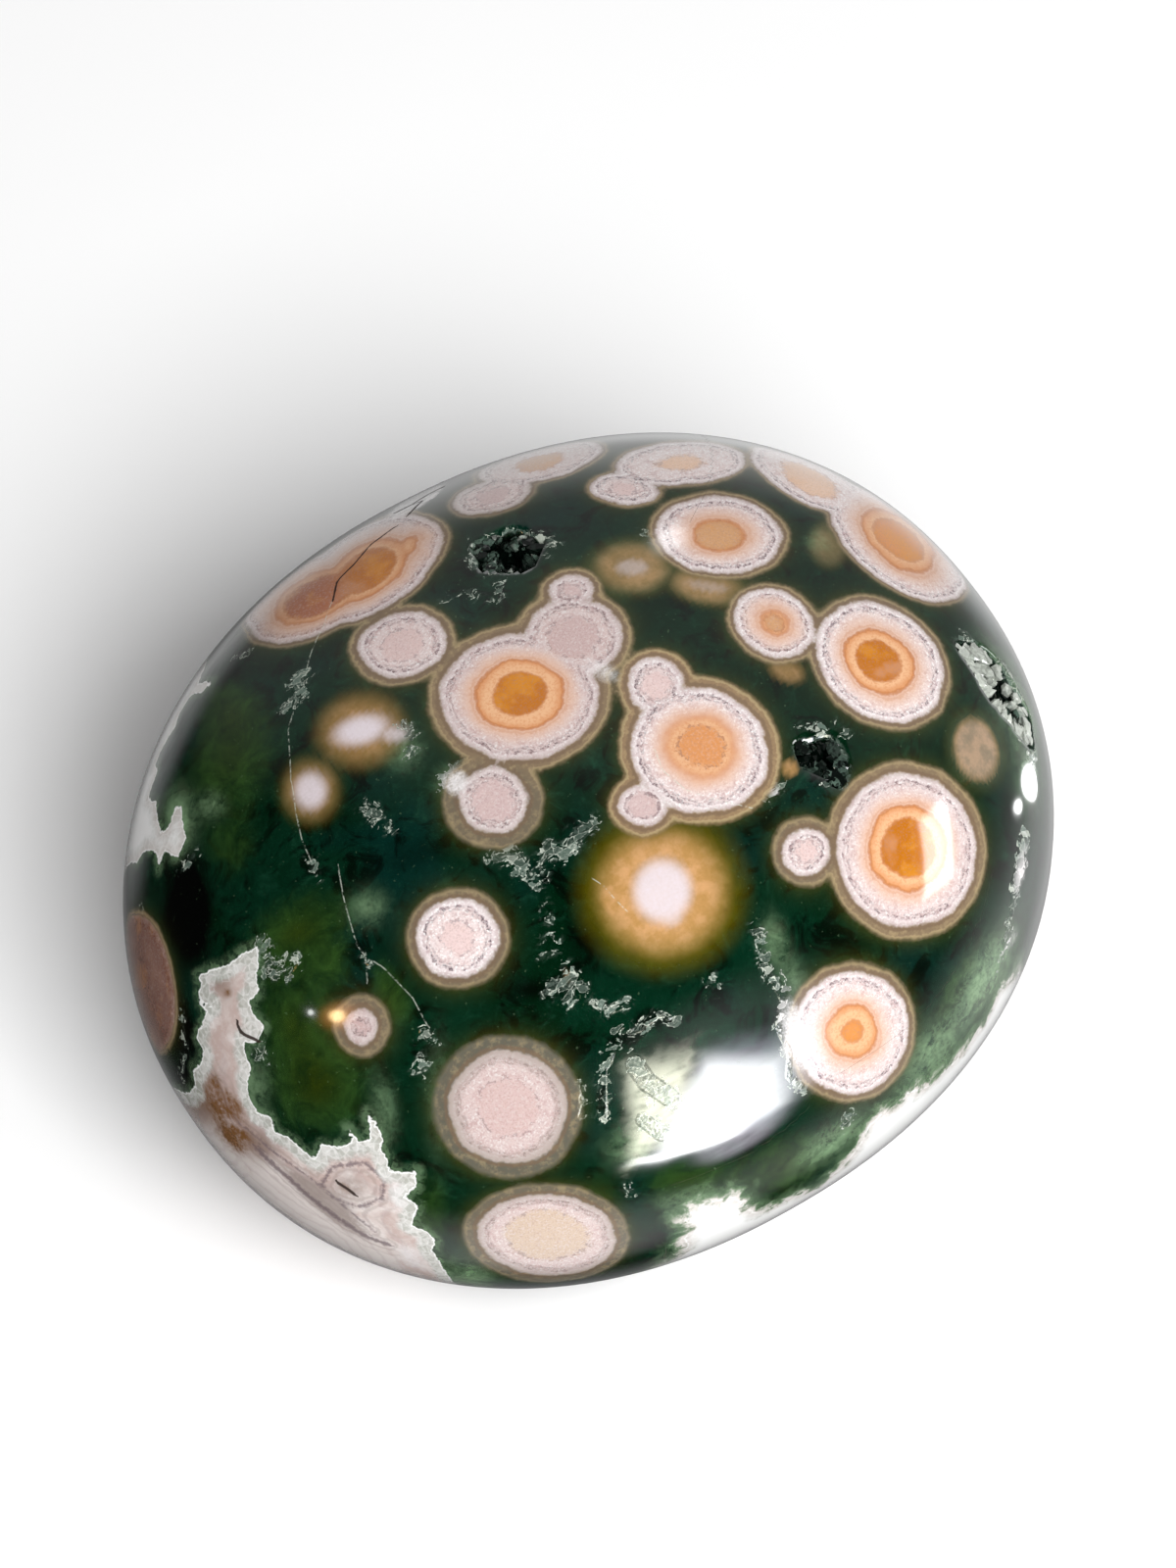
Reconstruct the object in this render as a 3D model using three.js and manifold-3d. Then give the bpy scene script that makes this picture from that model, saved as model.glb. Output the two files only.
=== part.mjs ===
// Ocean jasper palm stone: one polished pebble of orbicular jasper that rests on a small flat
// foot, with four open pockets in it. Each pocket is lined with a crust of quartz crystals.
//
// Millimetres, +Z up. +X runs along the stone's length and +Y across its width. The origin is
// the middle of the foot's plane, under the middle of the stone's bounding box.

import * as THREE from 'three';
import { mergeVertices } from 'three/addons/utils/BufferGeometryUtils.js';
import Module from 'manifold-3d';

const wasm = await Module();
wasm.setup();

// ---------------------------------------------------------------- driving dimensions, in mm

const LENGTH = 70; // pebble's length, before it leans
const WIDTH = 59.2;
const FULL_THICKNESS = 43; // before the foot is ground flat
const FOOT_DEPTH = 0.6; // ground off the underside to make the foot

const PLAN_POWER = 2.17; // 2 is an ellipse, more is squarer
const PROFILE_POWER = 2.26;
const TAPER = -0.016; // share of the width lost towards +X
const LEAN_X = 0.157; // how far the upper half leans over, per mm of height
const LEAN_Y = 0.227;
const LEAN_START = 5; // height over which the lean begins

const FACES_PER_SIDE = 16; // facets along each side of the cube that is blown up into the pebble

const CLEARANCE = 0.28; // between a crust and the wall of its pocket
const CRUST_WALL = 0.4; // thickness of the crust under its crystals

const POCKET_FILL = 0.92; // a pocket's mean half size, as a share of its stated half size
const POCKET_CORNER = 0.13; // how far its corners stand out, as the same share
const POCKET_RIPPLE = 0.06; // and how far its edge ripples between them
const RIPPLES = 5;

const CRYSTAL_SIDES = 6;
const ROOT_FLARE = 1.2; // a crystal's radius at its root, as a share of its own radius
const SHOULDER = 0.85; // and where its point begins
const POINT_HEIGHT = 1.15; // height of the point, as the same share
const SMALLEST_CRYSTAL = 0.55; // as a share of its pocket's crystal radius
const LARGEST_CRYSTAL = 1.15;
const SHORTEST_PRISM = 0.5; // height above the crust, as a share of its own radius
const LONGEST_PRISM = 1.2;
const CRYSTAL_WANDER = 0.7; // how far crystals stray from pointing at the pocket's middle
const HIGHEST_ROOT = 0.08; // depth of the crystals' roots, as a share of the pocket's depth
const DEEPEST_ROOT = 0.98;
const GOLDEN_ANGLE = Math.PI * (3 - Math.sqrt(5));

// Longitude is counted from +X towards +Y and latitude up from the belly, both in degrees.
// turn is the angle from east to the pocket's long side, anticlockwise. crystal is the radius
// of its crystals, and seed picks their random sizes.
const POCKETS = [
  { name: 'top_pocket_crust', longitude: 93, latitude: 69, long: 6.2, wide: 4.2, deep: 2.6,
    turn: 155, corners: 2, crystals: 16, crystal: 0.56, seed: 3 },
  { name: 'small_pocket_crust', longitude: -61, latitude: 56, long: 4.6, wide: 3.2, deep: 2.1,
    turn: -83, corners: 3, crystals: 11, crystal: 0.42, seed: 8 },
  { name: 'edge_pocket_crust', longitude: -27, latitude: 32, long: 10.2, wide: 4.6, deep: 2.0,
    turn: -116, corners: 2, crystals: 22, crystal: 0.52, seed: 14 },
  { name: 'back_pocket_crust', longitude: 62, latitude: -6, long: 9.0, wide: 5.6, deep: 3.2,
    turn: 24, corners: 3, crystals: 19, crystal: 0.76, seed: 21 },
];

// ---------------------------------------------------------------- solids

/** A manifold solid from a closed three.js geometry. */
function solidOf(geometry) {
  const bare = geometry.clone();
  bare.deleteAttribute('normal');
  bare.deleteAttribute('uv');
  const welded = mergeVertices(bare, 1e-5);
  return new wasm.Manifold(new wasm.Mesh({
    numProp: 3,
    vertProperties: new Float32Array(welded.attributes.position.array),
    triVerts: new Uint32Array(welded.index.array),
  }));
}

/** A three.js geometry from a manifold solid, with any bubble closed in between pieces filled. */
function geometryOf(solid) {
  const mesh = solid.getMesh();
  const geometry = new THREE.BufferGeometry();
  geometry.setAttribute('position', new THREE.BufferAttribute(mesh.vertProperties, 3));
  geometry.setIndex(largestShell(mesh.triVerts, mesh.vertProperties.length / 3));
  return geometry;
}

/** The triangles of the shell with the most triangles, out of shells that share no corner. */
function largestShell(triangles, cornerCount) {
  const leader = Array.from({ length: cornerCount }, (_, i) => i);
  const leaderOf = (corner) => {
    let top = corner;
    while (leader[top] !== top) top = leader[top] = leader[leader[top]];
    return top;
  };
  for (let i = 0; i < triangles.length; i += 3) {
    leader[leaderOf(triangles[i + 1])] = leaderOf(triangles[i]);
    leader[leaderOf(triangles[i + 2])] = leaderOf(triangles[i]);
  }
  const shells = new Map();
  for (let i = 0; i < triangles.length; i += 3) {
    const top = leaderOf(triangles[i]);
    if (!shells.has(top)) shells.set(top, []);
    shells.get(top).push(triangles[i], triangles[i + 1], triangles[i + 2]);
  }
  return [...shells.values()].sort((a, b) => b.length - a.length)[0];
}

/** Moves every corner of a geometry by a function of the corner. */
function reshape(geometry, move) {
  const position = geometry.attributes.position;
  const corner = new THREE.Vector3();
  for (let i = 0; i < position.count; i += 1) {
    corner.fromBufferAttribute(position, i);
    move(corner);
    position.setXYZ(i, corner.x, corner.y, corner.z);
  }
  return geometry;
}

/** Seeded random numbers from 0 to 1. */
function randomNumbers(seed) {
  let state = seed * 7919 + 17;
  return () => {
    state = (state * 48271) % 2147483647;
    return state / 2147483647;
  };
}

// ---------------------------------------------------------------- the pebble's form

/** The point of the pebble's surface that lies in a direction given as a unit vector. */
function surfacePoint(direction) {
  const point = new THREE.Vector3(
    direction.x * LENGTH / 2, direction.y * WIDTH / 2, direction.z * FULL_THICKNESS / 2);
  const plan = Math.abs(direction.x) ** PLAN_POWER + Math.abs(direction.y) ** PLAN_POWER;
  const reach = plan ** (PROFILE_POWER / PLAN_POWER) + Math.abs(direction.z) ** PROFILE_POWER;
  point.divideScalar(reach ** (1 / PROFILE_POWER));
  point.y *= 1 + TAPER * point.x / (LENGTH / 2);
  const lean = (Math.hypot(point.z, LEAN_START) + point.z) / 2;
  point.x += LEAN_X * lean;
  point.y += LEAN_Y * lean;
  return point;
}

/** The unit vector for a longitude and latitude in degrees. */
function directionOf(longitude, latitude) {
  const polar = THREE.MathUtils.degToRad(90 - latitude);
  const round = THREE.MathUtils.degToRad(longitude);
  return new THREE.Vector3(
    Math.sin(polar) * Math.cos(round), Math.sin(polar) * Math.sin(round), Math.cos(polar));
}

/** The pebble with no pockets or foot: a cube blown up to the surface, shrunk by inset. */
function pebble(inset) {
  const cube = new THREE.BoxGeometry(2, 2, 2, FACES_PER_SIDE, FACES_PER_SIDE, FACES_PER_SIDE);
  const shrink = 1 - inset / (FULL_THICKNESS / 2);
  return reshape(cube, (corner) => {
    corner.set(
      Math.tan(corner.x * Math.PI / 4), Math.tan(corner.y * Math.PI / 4),
      Math.tan(corner.z * Math.PI / 4));
    corner.copy(surfacePoint(corner.normalize())).multiplyScalar(shrink);
  });
}

/** A block that takes away all that is below the foot's plane. */
function floorBlock() {
  const block = new THREE.BoxGeometry(2 * LENGTH, 2 * LENGTH, LENGTH);
  block.translate(0, 0, -LENGTH / 2 - FULL_THICKNESS / 2 + FOOT_DEPTH);
  return block;
}

// ---------------------------------------------------------------- pockets and their crusts

/** The frame of a pocket: its mouth's middle, with X along its long side and Z outwards. */
function pocketFrame(pocket) {
  const { longitude, latitude } = pocket;
  const middle = surfacePoint(directionOf(longitude, latitude));
  const step = 0.5; // degrees
  const east = surfacePoint(directionOf(longitude + step, latitude))
    .sub(surfacePoint(directionOf(longitude - step, latitude)));
  const north = surfacePoint(directionOf(longitude, latitude + step))
    .sub(surfacePoint(directionOf(longitude, latitude - step)));
  const out = new THREE.Vector3().crossVectors(east, north).normalize();
  const level = new THREE.Vector3(0, 0, 1).cross(out).normalize();
  const long = level.applyAxisAngle(out, THREE.MathUtils.degToRad(pocket.turn));
  const across = new THREE.Vector3().crossVectors(out, long);
  return new THREE.Matrix4().makeBasis(long, across, out).setPosition(middle);
}

/** A pocket's outline as a share of its half size, at an angle round its mouth: soft corners. */
function outline(pocket, angle) {
  const corner = POCKET_CORNER * Math.cos(pocket.corners * angle + pocket.seed);
  const ripple = POCKET_RIPPLE * Math.cos(RIPPLES * angle + 2 * pocket.seed);
  return POCKET_FILL + corner + ripple;
}

/** The room of a pocket in its own frame: a lumpy bowl that bulges out through the mouth. */
function roomGeometry(pocket, inset) {
  const ball = new THREE.IcosahedronGeometry(1, 2);
  return reshape(ball, (corner) => {
    const swell = outline(pocket, Math.atan2(corner.y, corner.x));
    corner.set(
      corner.x * swell * (pocket.long / 2 - inset), corner.y * swell * (pocket.wide / 2 - inset),
      corner.z * (pocket.deep - inset));
  });
}

/** One quartz crystal standing on the origin: a six-sided prism with a six-sided point. */
function crystalGeometry(radius, height) {
  const profile = [
    new THREE.Vector2(0, 0), new THREE.Vector2(radius * ROOT_FLARE, 0),
    new THREE.Vector2(radius * SHOULDER, height),
    new THREE.Vector2(0, height + radius * POINT_HEIGHT),
  ];
  return new THREE.LatheGeometry(profile, CRYSTAL_SIDES).rotateX(Math.PI / 2);
}

/** The crystals of a pocket, rooted all over its wall and pointing into it. */
function crystalSolids(pocket) {
  const random = randomNumbers(pocket.seed);
  const between = (low, high) => THREE.MathUtils.lerp(low, high, random());
  const solids = [];
  for (let i = 0; i < pocket.crystals; i += 1) {
    // Even steps down from just under the mouth to the bottom, turning by the golden angle.
    const depth = THREE.MathUtils.lerp(HIGHEST_ROOT, DEEPEST_ROOT, (i + 0.5) / pocket.crystals);
    const angle = i * GOLDEN_ANGLE;
    const ring = Math.sqrt(1 - depth * depth);
    const swell = outline(pocket, angle);
    const inward = new THREE.Vector3(
      between(-1, 1) * CRYSTAL_WANDER / 2 - Math.cos(angle) * ring,
      between(-1, 1) * CRYSTAL_WANDER / 2 - Math.sin(angle) * ring, (1 + depth) / 2);
    const radius = pocket.crystal * between(SMALLEST_CRYSTAL, LARGEST_CRYSTAL);
    const height = CLEARANCE + CRUST_WALL + radius * between(SHORTEST_PRISM, LONGEST_PRISM);
    const crystal = crystalGeometry(radius, height);
    crystal.rotateZ(random() * Math.PI);
    crystal.applyQuaternion(new THREE.Quaternion().setFromUnitVectors(
      new THREE.Vector3(0, 0, 1), inward.normalize()));
    crystal.translate(
      Math.cos(angle) * ring * swell * pocket.long / 2,
      Math.sin(angle) * ring * swell * pocket.wide / 2, -depth * pocket.deep);
    solids.push(solidOf(crystal));
  }
  return solids;
}

/** The crust of a pocket: a thin lining with its crystals, clear of the wall and the mouth. */
function crustSolid(pocket, frame) {
  const placed = (geometry) => solidOf(geometry.applyMatrix4(frame));
  const room = placed(roomGeometry(pocket, CLEARANCE));
  const hollow = placed(roomGeometry(pocket, CLEARANCE + CRUST_WALL));
  let crust = room.subtract(hollow);
  for (const crystal of crystalSolids(pocket)) {
    crust = crust.add(crystal.transform(frame.elements));
  }
  return crust.intersect(room).intersect(solidOf(pebble(CLEARANCE)));
}

// ---------------------------------------------------------------- the part

/** The pebble with its foot ground flat and its pockets open. */
function stoneSolid(frames) {
  let stone = solidOf(pebble(0)).subtract(solidOf(floorBlock()));
  POCKETS.forEach((pocket, i) => {
    stone = stone.subtract(solidOf(roomGeometry(pocket, 0).applyMatrix4(frames[i])));
  });
  return stone;
}

function build() {
  const jasper = new THREE.MeshStandardMaterial({ color: 0x1d3a30, roughness: 0.12, metalness: 0 });
  const quartz = new THREE.MeshStandardMaterial({ color: 0xbfcfc4, roughness: 0.08, metalness: 0 });

  const frames = POCKETS.map(pocketFrame);
  const stone = new THREE.Mesh(geometryOf(stoneSolid(frames)), jasper);
  stone.name = 'stone';

  const part = new THREE.Group();
  part.add(stone);
  POCKETS.forEach((pocket, i) => {
    const crust = new THREE.Mesh(geometryOf(crustSolid(pocket, frames[i])), quartz);
    crust.name = pocket.name;
    part.add(crust);
  });

  // The part is moved so that the foot lies on Z = 0 under the middle of the bounding box.
  const box = new THREE.Box3().setFromObject(stone);
  part.position.set(
    -(box.min.x + box.max.x) / 2, -(box.min.y + box.max.y) / 2, FULL_THICKNESS / 2 - FOOT_DEPTH);
  return part;
}

export default build();
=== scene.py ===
"""Looks of a polished ocean jasper palm stone: banded orbs, quartz and crystal pockets."""
import logging
import math
from dataclasses import dataclass, field
from enum import Enum
from functools import reduce
from typing import Iterator, Optional, Sequence, Union

import bpy
import numpy as np
from mathutils import Matrix, Vector


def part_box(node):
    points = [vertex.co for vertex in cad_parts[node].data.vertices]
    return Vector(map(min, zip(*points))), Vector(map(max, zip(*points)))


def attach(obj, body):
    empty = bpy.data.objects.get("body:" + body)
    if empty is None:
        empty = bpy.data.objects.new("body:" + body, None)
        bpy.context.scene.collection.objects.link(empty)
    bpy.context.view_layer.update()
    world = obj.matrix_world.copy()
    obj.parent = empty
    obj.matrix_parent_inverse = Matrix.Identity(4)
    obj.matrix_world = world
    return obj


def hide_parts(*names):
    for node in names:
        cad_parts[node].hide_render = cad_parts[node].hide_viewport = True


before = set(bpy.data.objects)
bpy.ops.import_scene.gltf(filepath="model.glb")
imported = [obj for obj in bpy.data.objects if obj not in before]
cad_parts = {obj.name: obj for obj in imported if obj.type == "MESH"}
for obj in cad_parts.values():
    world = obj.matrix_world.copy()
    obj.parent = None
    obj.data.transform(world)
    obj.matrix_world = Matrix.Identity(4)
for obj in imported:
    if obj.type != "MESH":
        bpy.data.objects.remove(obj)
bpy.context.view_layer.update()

Array = np.ndarray
Colour = tuple[float, float, float]
Pair = tuple[float, float]
Numbers = Union[int, Array]
Socket = bpy.types.NodeSocket

LOG = logging.getLogger("ocean_jasper")
MM = 0.001  # metres in a millimetre
FAR = 20.0  # mm, farther than any band or vein reaches
FLAT_SPAN = 3.0  # mm from a thin vein within which the surface counts as flat
MOUTH_SPAN = 6.0  # mm above and below a pocket's mouth within which a point belongs to it


def rgb(code: str) -> Colour:
    """Linear red, green and blue of a six-digit display colour."""
    parts = [int(code[i:i + 2], 16) / 255 for i in (0, 2, 4)]
    return tuple(p / 12.92 if p <= 0.04045 else ((p + 0.055) / 1.055) ** 2.4 for p in parts)


def unit(vectors: Array) -> Array:
    """Vectors scaled to length one."""
    return vectors / np.linalg.norm(vectors, axis=-1, keepdims=True)


def smoothstep(low: float, high: float, value: Array) -> Array:
    """Soft step: 0 at low, 1 at high, 3t^2 - 2t^3 between them."""
    t = np.clip((value - low) / (high - low), 0.0, 1.0)
    return t * t * (3.0 - 2.0 * t)


# ---------------------------------------------------------------- the pebble's shape

@dataclass(frozen=True)
class Pebble:
    """The tumbled form, in mm round its own middle: a squared-off ellipsoid whose top leans over.

    A point is (x, y, z) = s / F(s), where s is the direction times the half sizes and
    F(s) = ((|x/a|^p + |y/b|^p)^(q/p) + |z/c|^q)^(1/q). Then y tapers with x, and x and y
    move by the lean times (sqrt(z^2 + start^2) + z) / 2, which is about z above the middle
    and nothing below it. The foot is the plane where the underside is ground flat.
    """

    half_length: float = 35.0
    half_width: float = 29.6
    half_thickness: float = 21.5
    plan_power: float = 2.17
    profile_power: float = 2.26
    taper: float = -0.016
    lean_x: float = 0.157
    lean_y: float = 0.227
    lean_start: float = 5.0
    foot_depth: float = 0.6

    @property
    def sizes(self) -> Array:
        """Half sizes along x, y and z."""
        return np.array([self.half_length, self.half_width, self.half_thickness])

    @property
    def foot(self) -> float:
        """Height of the ground foot."""
        return self.foot_depth - self.half_thickness

    def fullness(self, upright: Array) -> Array:
        """F of the class's formula: 1 on the surface, less inside.

        Args:
            upright: points before taper and lean, shape (..., 3).
        Returns:
            One number a point.
        """
        x, y, z = np.moveaxis(np.abs(upright / self.sizes), -1, 0)
        p, q = self.plan_power, self.profile_power
        return ((x ** p + y ** p) ** (q / p) + z ** q) ** (1 / q)

    def lean(self, z: Array) -> Array:
        """Height that counts for the lean."""
        return (np.sqrt(z * z + self.lean_start ** 2) + z) / 2

    def point(self, direction: Array) -> Array:
        """Surface points in the given directions, before the foot is ground.

        Args:
            direction: unit directions, shape (..., 3).
        Returns:
            Points in mm, shape (..., 3).
        """
        stretched = direction * self.sizes
        x, y, z = np.moveaxis(stretched / self.fullness(stretched)[..., None], -1, 0)
        lean = self.lean(z)
        y = y * (1 + self.taper * x / self.half_length)
        return np.stack([x + self.lean_x * lean, y + self.lean_y * lean, z], -1)

    def upright(self, point: Array) -> Array:
        """Points with the lean and taper taken out again."""
        x, y, z = np.moveaxis(point, -1, 0)
        lean = self.lean(z)
        x = x - self.lean_x * lean
        y = (y - self.lean_y * lean) / (1 + self.taper * x / self.half_length)
        return np.stack([x, y, z], -1)

    def direction(self, point: Array) -> Array:
        """Unit directions that point() would need for these points."""
        return unit(self.upright(point) / self.sizes)

    def normal(self, point: Array) -> Array:
        """Outward unit normals: the slope of the fullness, by central differences.

        Args:
            point: points on the surface, shape (..., 3).
        Returns:
            Unit normals, shape (..., 3).
        """
        step = 0.01 * np.eye(3)  # mm
        slope = [
            self.fullness(self.upright(point + s)) - self.fullness(self.upright(point - s))
            for s in step]
        return unit(np.stack(slope, -1))

    def around(self, longitude: float, latitude: float) -> Array:
        """The surface point at a longitude and latitude of the direction, in degrees."""
        lon, lat = math.radians(longitude), math.radians(latitude)
        return self.point(np.array([
            math.cos(lat) * math.cos(lon), math.cos(lat) * math.sin(lon), math.sin(lat)]))


@dataclass(frozen=True)
class Seen:
    """A place on the stone where the main view shows it, in that view's 1200 x 1600 frame."""

    x: float
    y: float


@dataclass(frozen=True)
class Around:
    """A place on the stone by longitude and latitude in degrees, for what the main view hides."""

    longitude: float
    latitude: float


Place = Union[Seen, Around]


@dataclass(frozen=True)
class MainView:
    """The main camera, in mm round the stone's middle, looking down on it from in front."""

    pebble: Pebble
    azimuth: float = -32.0  # degrees
    elevation: float = 57.0
    distance: float = 450.0
    right_shift: float = 0.246
    up_shift: float = -6.463
    focal: float = 6229.3  # distance at which a millimetre is a pixel
    frame_width: int = 1200
    frame_height: int = 1600
    sensor: float = 36.0
    march: float = 60.0  # mm before and behind the middle that a sight line is marched
    march_steps: int = 481
    halvings: int = 24  # of the last step, to find where the line enters

    @property
    def axes(self) -> tuple[Array, Array, Array]:
        """Right, up and towards-the-camera unit vectors."""
        a, e = math.radians(-self.azimuth), math.radians(self.elevation)
        right = np.array([math.cos(a), -math.sin(a), 0.0])
        up = np.array([math.sin(e) * math.sin(a), math.sin(e) * math.cos(a), math.cos(e)])
        return right, up, np.cross(right, up)

    @property
    def eye(self) -> Array:
        """The camera's place."""
        right, up, back = self.axes
        return self.distance * back - self.right_shift * right - self.up_shift * up

    @property
    def scale(self) -> float:
        """Frame units for a millimetre at the stone's middle."""
        return self.focal / self.distance

    def project(self, points: Array) -> Array:
        """Where points show in the frame.

        Args:
            points: points in mm, shape (..., 3).
        Returns:
            Frame coordinates, shape (..., 2).
        """
        right, up, back = self.axes
        q = points - self.eye
        depth = -(q @ back)
        return np.stack([
            self.frame_width / 2 + self.focal * (q @ right) / depth,
            self.frame_height / 2 - self.focal * (q @ up) / depth], -1)

    def facing(self, points: Array, normals: Array) -> Array:
        """Cosine between each normal and the way to the camera."""
        return (unit(self.eye - points) * normals).sum(-1)

    def lift(self, seen: Sequence[Pair]) -> Array:
        """Lays frame places on the stone: each sight line is marched to where it enters.

        A line that misses takes the surface point nearest to it.

        Args:
            seen: frame coordinates.
        Returns:
            Surface points in mm, shape (n, 3).
        """
        right, up, back = self.axes
        x, y = np.asarray(seen, float).reshape(-1, 2).T
        ray = unit(
            ((x - self.frame_width / 2) / self.focal)[:, None] * right
            - ((y - self.frame_height / 2) / self.focal)[:, None] * up - back)
        reach = self.distance + np.linspace(-self.march, self.march, self.march_steps)
        full = self.pebble.fullness(self.pebble.upright(self.eye + reach[:, None, None] * ray))
        inside = full < 1
        first = np.where(inside.any(0), inside.argmax(0), full.argmin(0))
        far = reach[first]
        near = reach[np.maximum(first - 1, 0)]
        for _ in range(self.halvings):
            middle = (near + far) / 2
            hit = self.pebble.fullness(self.pebble.upright(self.eye + middle[:, None] * ray)) < 1
            far, near = np.where(hit, middle, far), np.where(hit, near, middle)
        return self.pebble.point(self.pebble.direction(self.eye + far[:, None] * ray))

    def place(self, place: Place) -> Array:
        """The surface point of a place."""
        if isinstance(place, Seen):
            return self.lift([(place.x, place.y)])[0]
        return self.pebble.around(place.longitude, place.latitude)

    def places(self, places: Sequence[Union[Place, Pair]]) -> Array:
        """Surface points of several places; a bare pair is a seen one."""
        return np.array([
            self.place(p if isinstance(p, (Seen, Around)) else Seen(*p)) for p in places])


# ---------------------------------------------------------------- what grew in the stone

class Heart(Enum):
    """Colour of an orb's innermost part."""

    AMBER = rgb("b66a06")
    ORANGE = rgb("d28a4a")
    TAN = rgb("c9986a")
    PEACH = rgb("e6bc9a")
    PINK = rgb("e0c6c3")
    MAUVE = rgb("d2b9b8")
    CREAM = rgb("decbb0")
    RUSSET = rgb("a65a30")
    UMBER = rgb("6e4432")

    @property
    def crisp(self) -> float:
        """1 where it has a drawn edge, 0 where it is a mottled cloud."""
        return float(self not in (Heart.PINK, Heart.MAUVE, Heart.CREAM))


@dataclass(frozen=True)
class Orb:
    """One banded orb cut by the surface.

    Sizes are those of its white part, in mm as they show in the main view, or on the
    surface for a place that the view hides.
    """

    place: Place
    wide: float
    high: float
    tilt: float = 0.0  # degrees that the long way falls to the right
    rim: float = 0.45  # width of the olive rim outside the white, mm
    core: float = 0.0  # share of the half size
    peach: float = 0.0  # share of the half size that the peach ring reaches
    heart: Heart = Heart.PINK
    amber_rim: float = 0.4  # 0 grey-olive, 1 amber
    shift: Pair = (0.0, 0.0)  # of the core from the middle, mm to the right and down
    clear: float = 1.0  # 0 where even a drawn edge is blurred
    # How far the white part is browned: partly the orb's own colour, partly painted shade where the
    # orb shows darker under the light.
    brown_and_shade: float = 0.0  # how far the white part is browned


@dataclass(frozen=True)
class SunkOrb:
    """An orb that lies under the surface and shows softly through it. Sizes in mm, as an Orb's."""

    place: Place
    wide: float
    high: float
    tilt: float = 0.0
    white: Optional[Pair] = None  # mm across its pale middle
    white_strength: float = 1.0
    amber_strength: float = 1.0
    glow: float = 0.5
    grey: float = 0.0  # 0 amber in an olive glow, 1 grey-brown in a teal one
    soft: float = 0.25  # share of the half size that each edge fades over


class Ground(Enum):
    """What a cloud in the green ground is made of, some kinds partly painted shade and glare: its
    place in the ground attribute.
    """

    MOSS = 0
    MIST = 1
    # Dark patches; over the quartz fields they are painted shade.
    DARK_AND_SHADE = 2
    STAIN = 3
    # Pale frost, partly painted glare where the window's haze falls on the orbs.
    FROST_AND_GLARE = 4  # over the orbs as well


@dataclass(frozen=True)
class Cloud:
    """A soft patch of another colour, mostly in the green ground. Sizes in mm, as an Orb's."""

    place: Place
    wide: float
    high: float
    tilt: float = 0.0
    kind: Ground = Ground.MOSS
    strength: float = 1.0


def clouds(kind: Ground, *rows: tuple) -> list[Cloud]:
    """Clouds of one kind: each row holds a place, two sizes, a tilt and a strength."""
    return [Cloud(*row[:4], kind, row[4]) for row in rows]


class Vein(Enum):
    """What a vein is filled with: its place in the vein attribute."""

    CRYSTALS = 0
    CRACK = 1
    SEAM = 2
    THREAD = 3


@dataclass(frozen=True)
class Stroke:
    """A narrow vein or patch along a line of places, of the given width in mm."""

    path: tuple
    width: float
    vein: Vein


def strokes(vein: Vein, *rows: tuple) -> list[Stroke]:
    """Veins of one kind: each row holds a width and the places along it."""
    return [Stroke(tuple(path), width, vein) for width, *path in rows]


@dataclass(frozen=True)
class QuartzField:
    """A field of white quartz: the loop of its edge, and a place inside it."""

    edge: tuple
    middle: Place
    white: float = 0.0  # 0 pinkish and banded, 1 plain white


@dataclass(frozen=True)
class Pocket:
    """An open pocket lined with crystals. Sizes in mm, angles in degrees."""

    name: str
    longitude: float
    latitude: float
    long: float
    wide: float
    deep: float
    turn: float
    corners: int
    phase: int
    fill: float = 0.92
    corner: float = 0.13
    ripple: float = 0.06
    pale: float = 1.0  # how milky its crystals are near the mouth

    def outline(self, angle: Array) -> Array:
        """Share of the half size at an angle round the mouth: a mean, soft corners, ripples."""
        return (self.fill + self.corner * np.cos(self.corners * angle + self.phase)
                + self.ripple * np.cos(5 * angle + 2 * self.phase))

    def axes(self, pebble: Pebble) -> tuple[Array, Array]:
        """The middle of the mouth, and the rows long, across and outward.

        Args:
            pebble: the stone that it opens in.
        Returns:
            The middle, shape (3,), and the unit rows, shape (3, 3).
        """
        middle = pebble.around(self.longitude, self.latitude)
        out = pebble.normal(middle)
        level = unit(np.cross([0.0, 0.0, 1.0], out))
        turn = math.radians(self.turn)
        long = level * math.cos(turn) + np.cross(out, level) * math.sin(turn)
        return middle, np.stack([long, np.cross(out, long), out])

    def reach(self, local: Array) -> Array:
        """How far out points lie, as a share of the outline: 1 on the mouth's edge."""
        a, b = local[..., 0] / (self.long / 2), local[..., 1] / (self.wide / 2)
        return np.hypot(a, b) / self.outline(np.arctan2(b, a))


POCKETS = (
    Pocket("top_pocket_crust", 93, 69, 6.2, 4.2, 2.6, 155, 2, 3, pale=0.86),
    Pocket("small_pocket_crust", -61, 56, 4.6, 3.2, 2.1, -83, 3, 8, pale=0.7),
    Pocket("edge_pocket_crust", -27, 32, 10.2, 4.6, 2.0, -116, 2, 14, pale=2.0),
    Pocket("back_pocket_crust", 62, -6, 9.0, 5.6, 3.2, 24, 3, 21),
)

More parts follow.
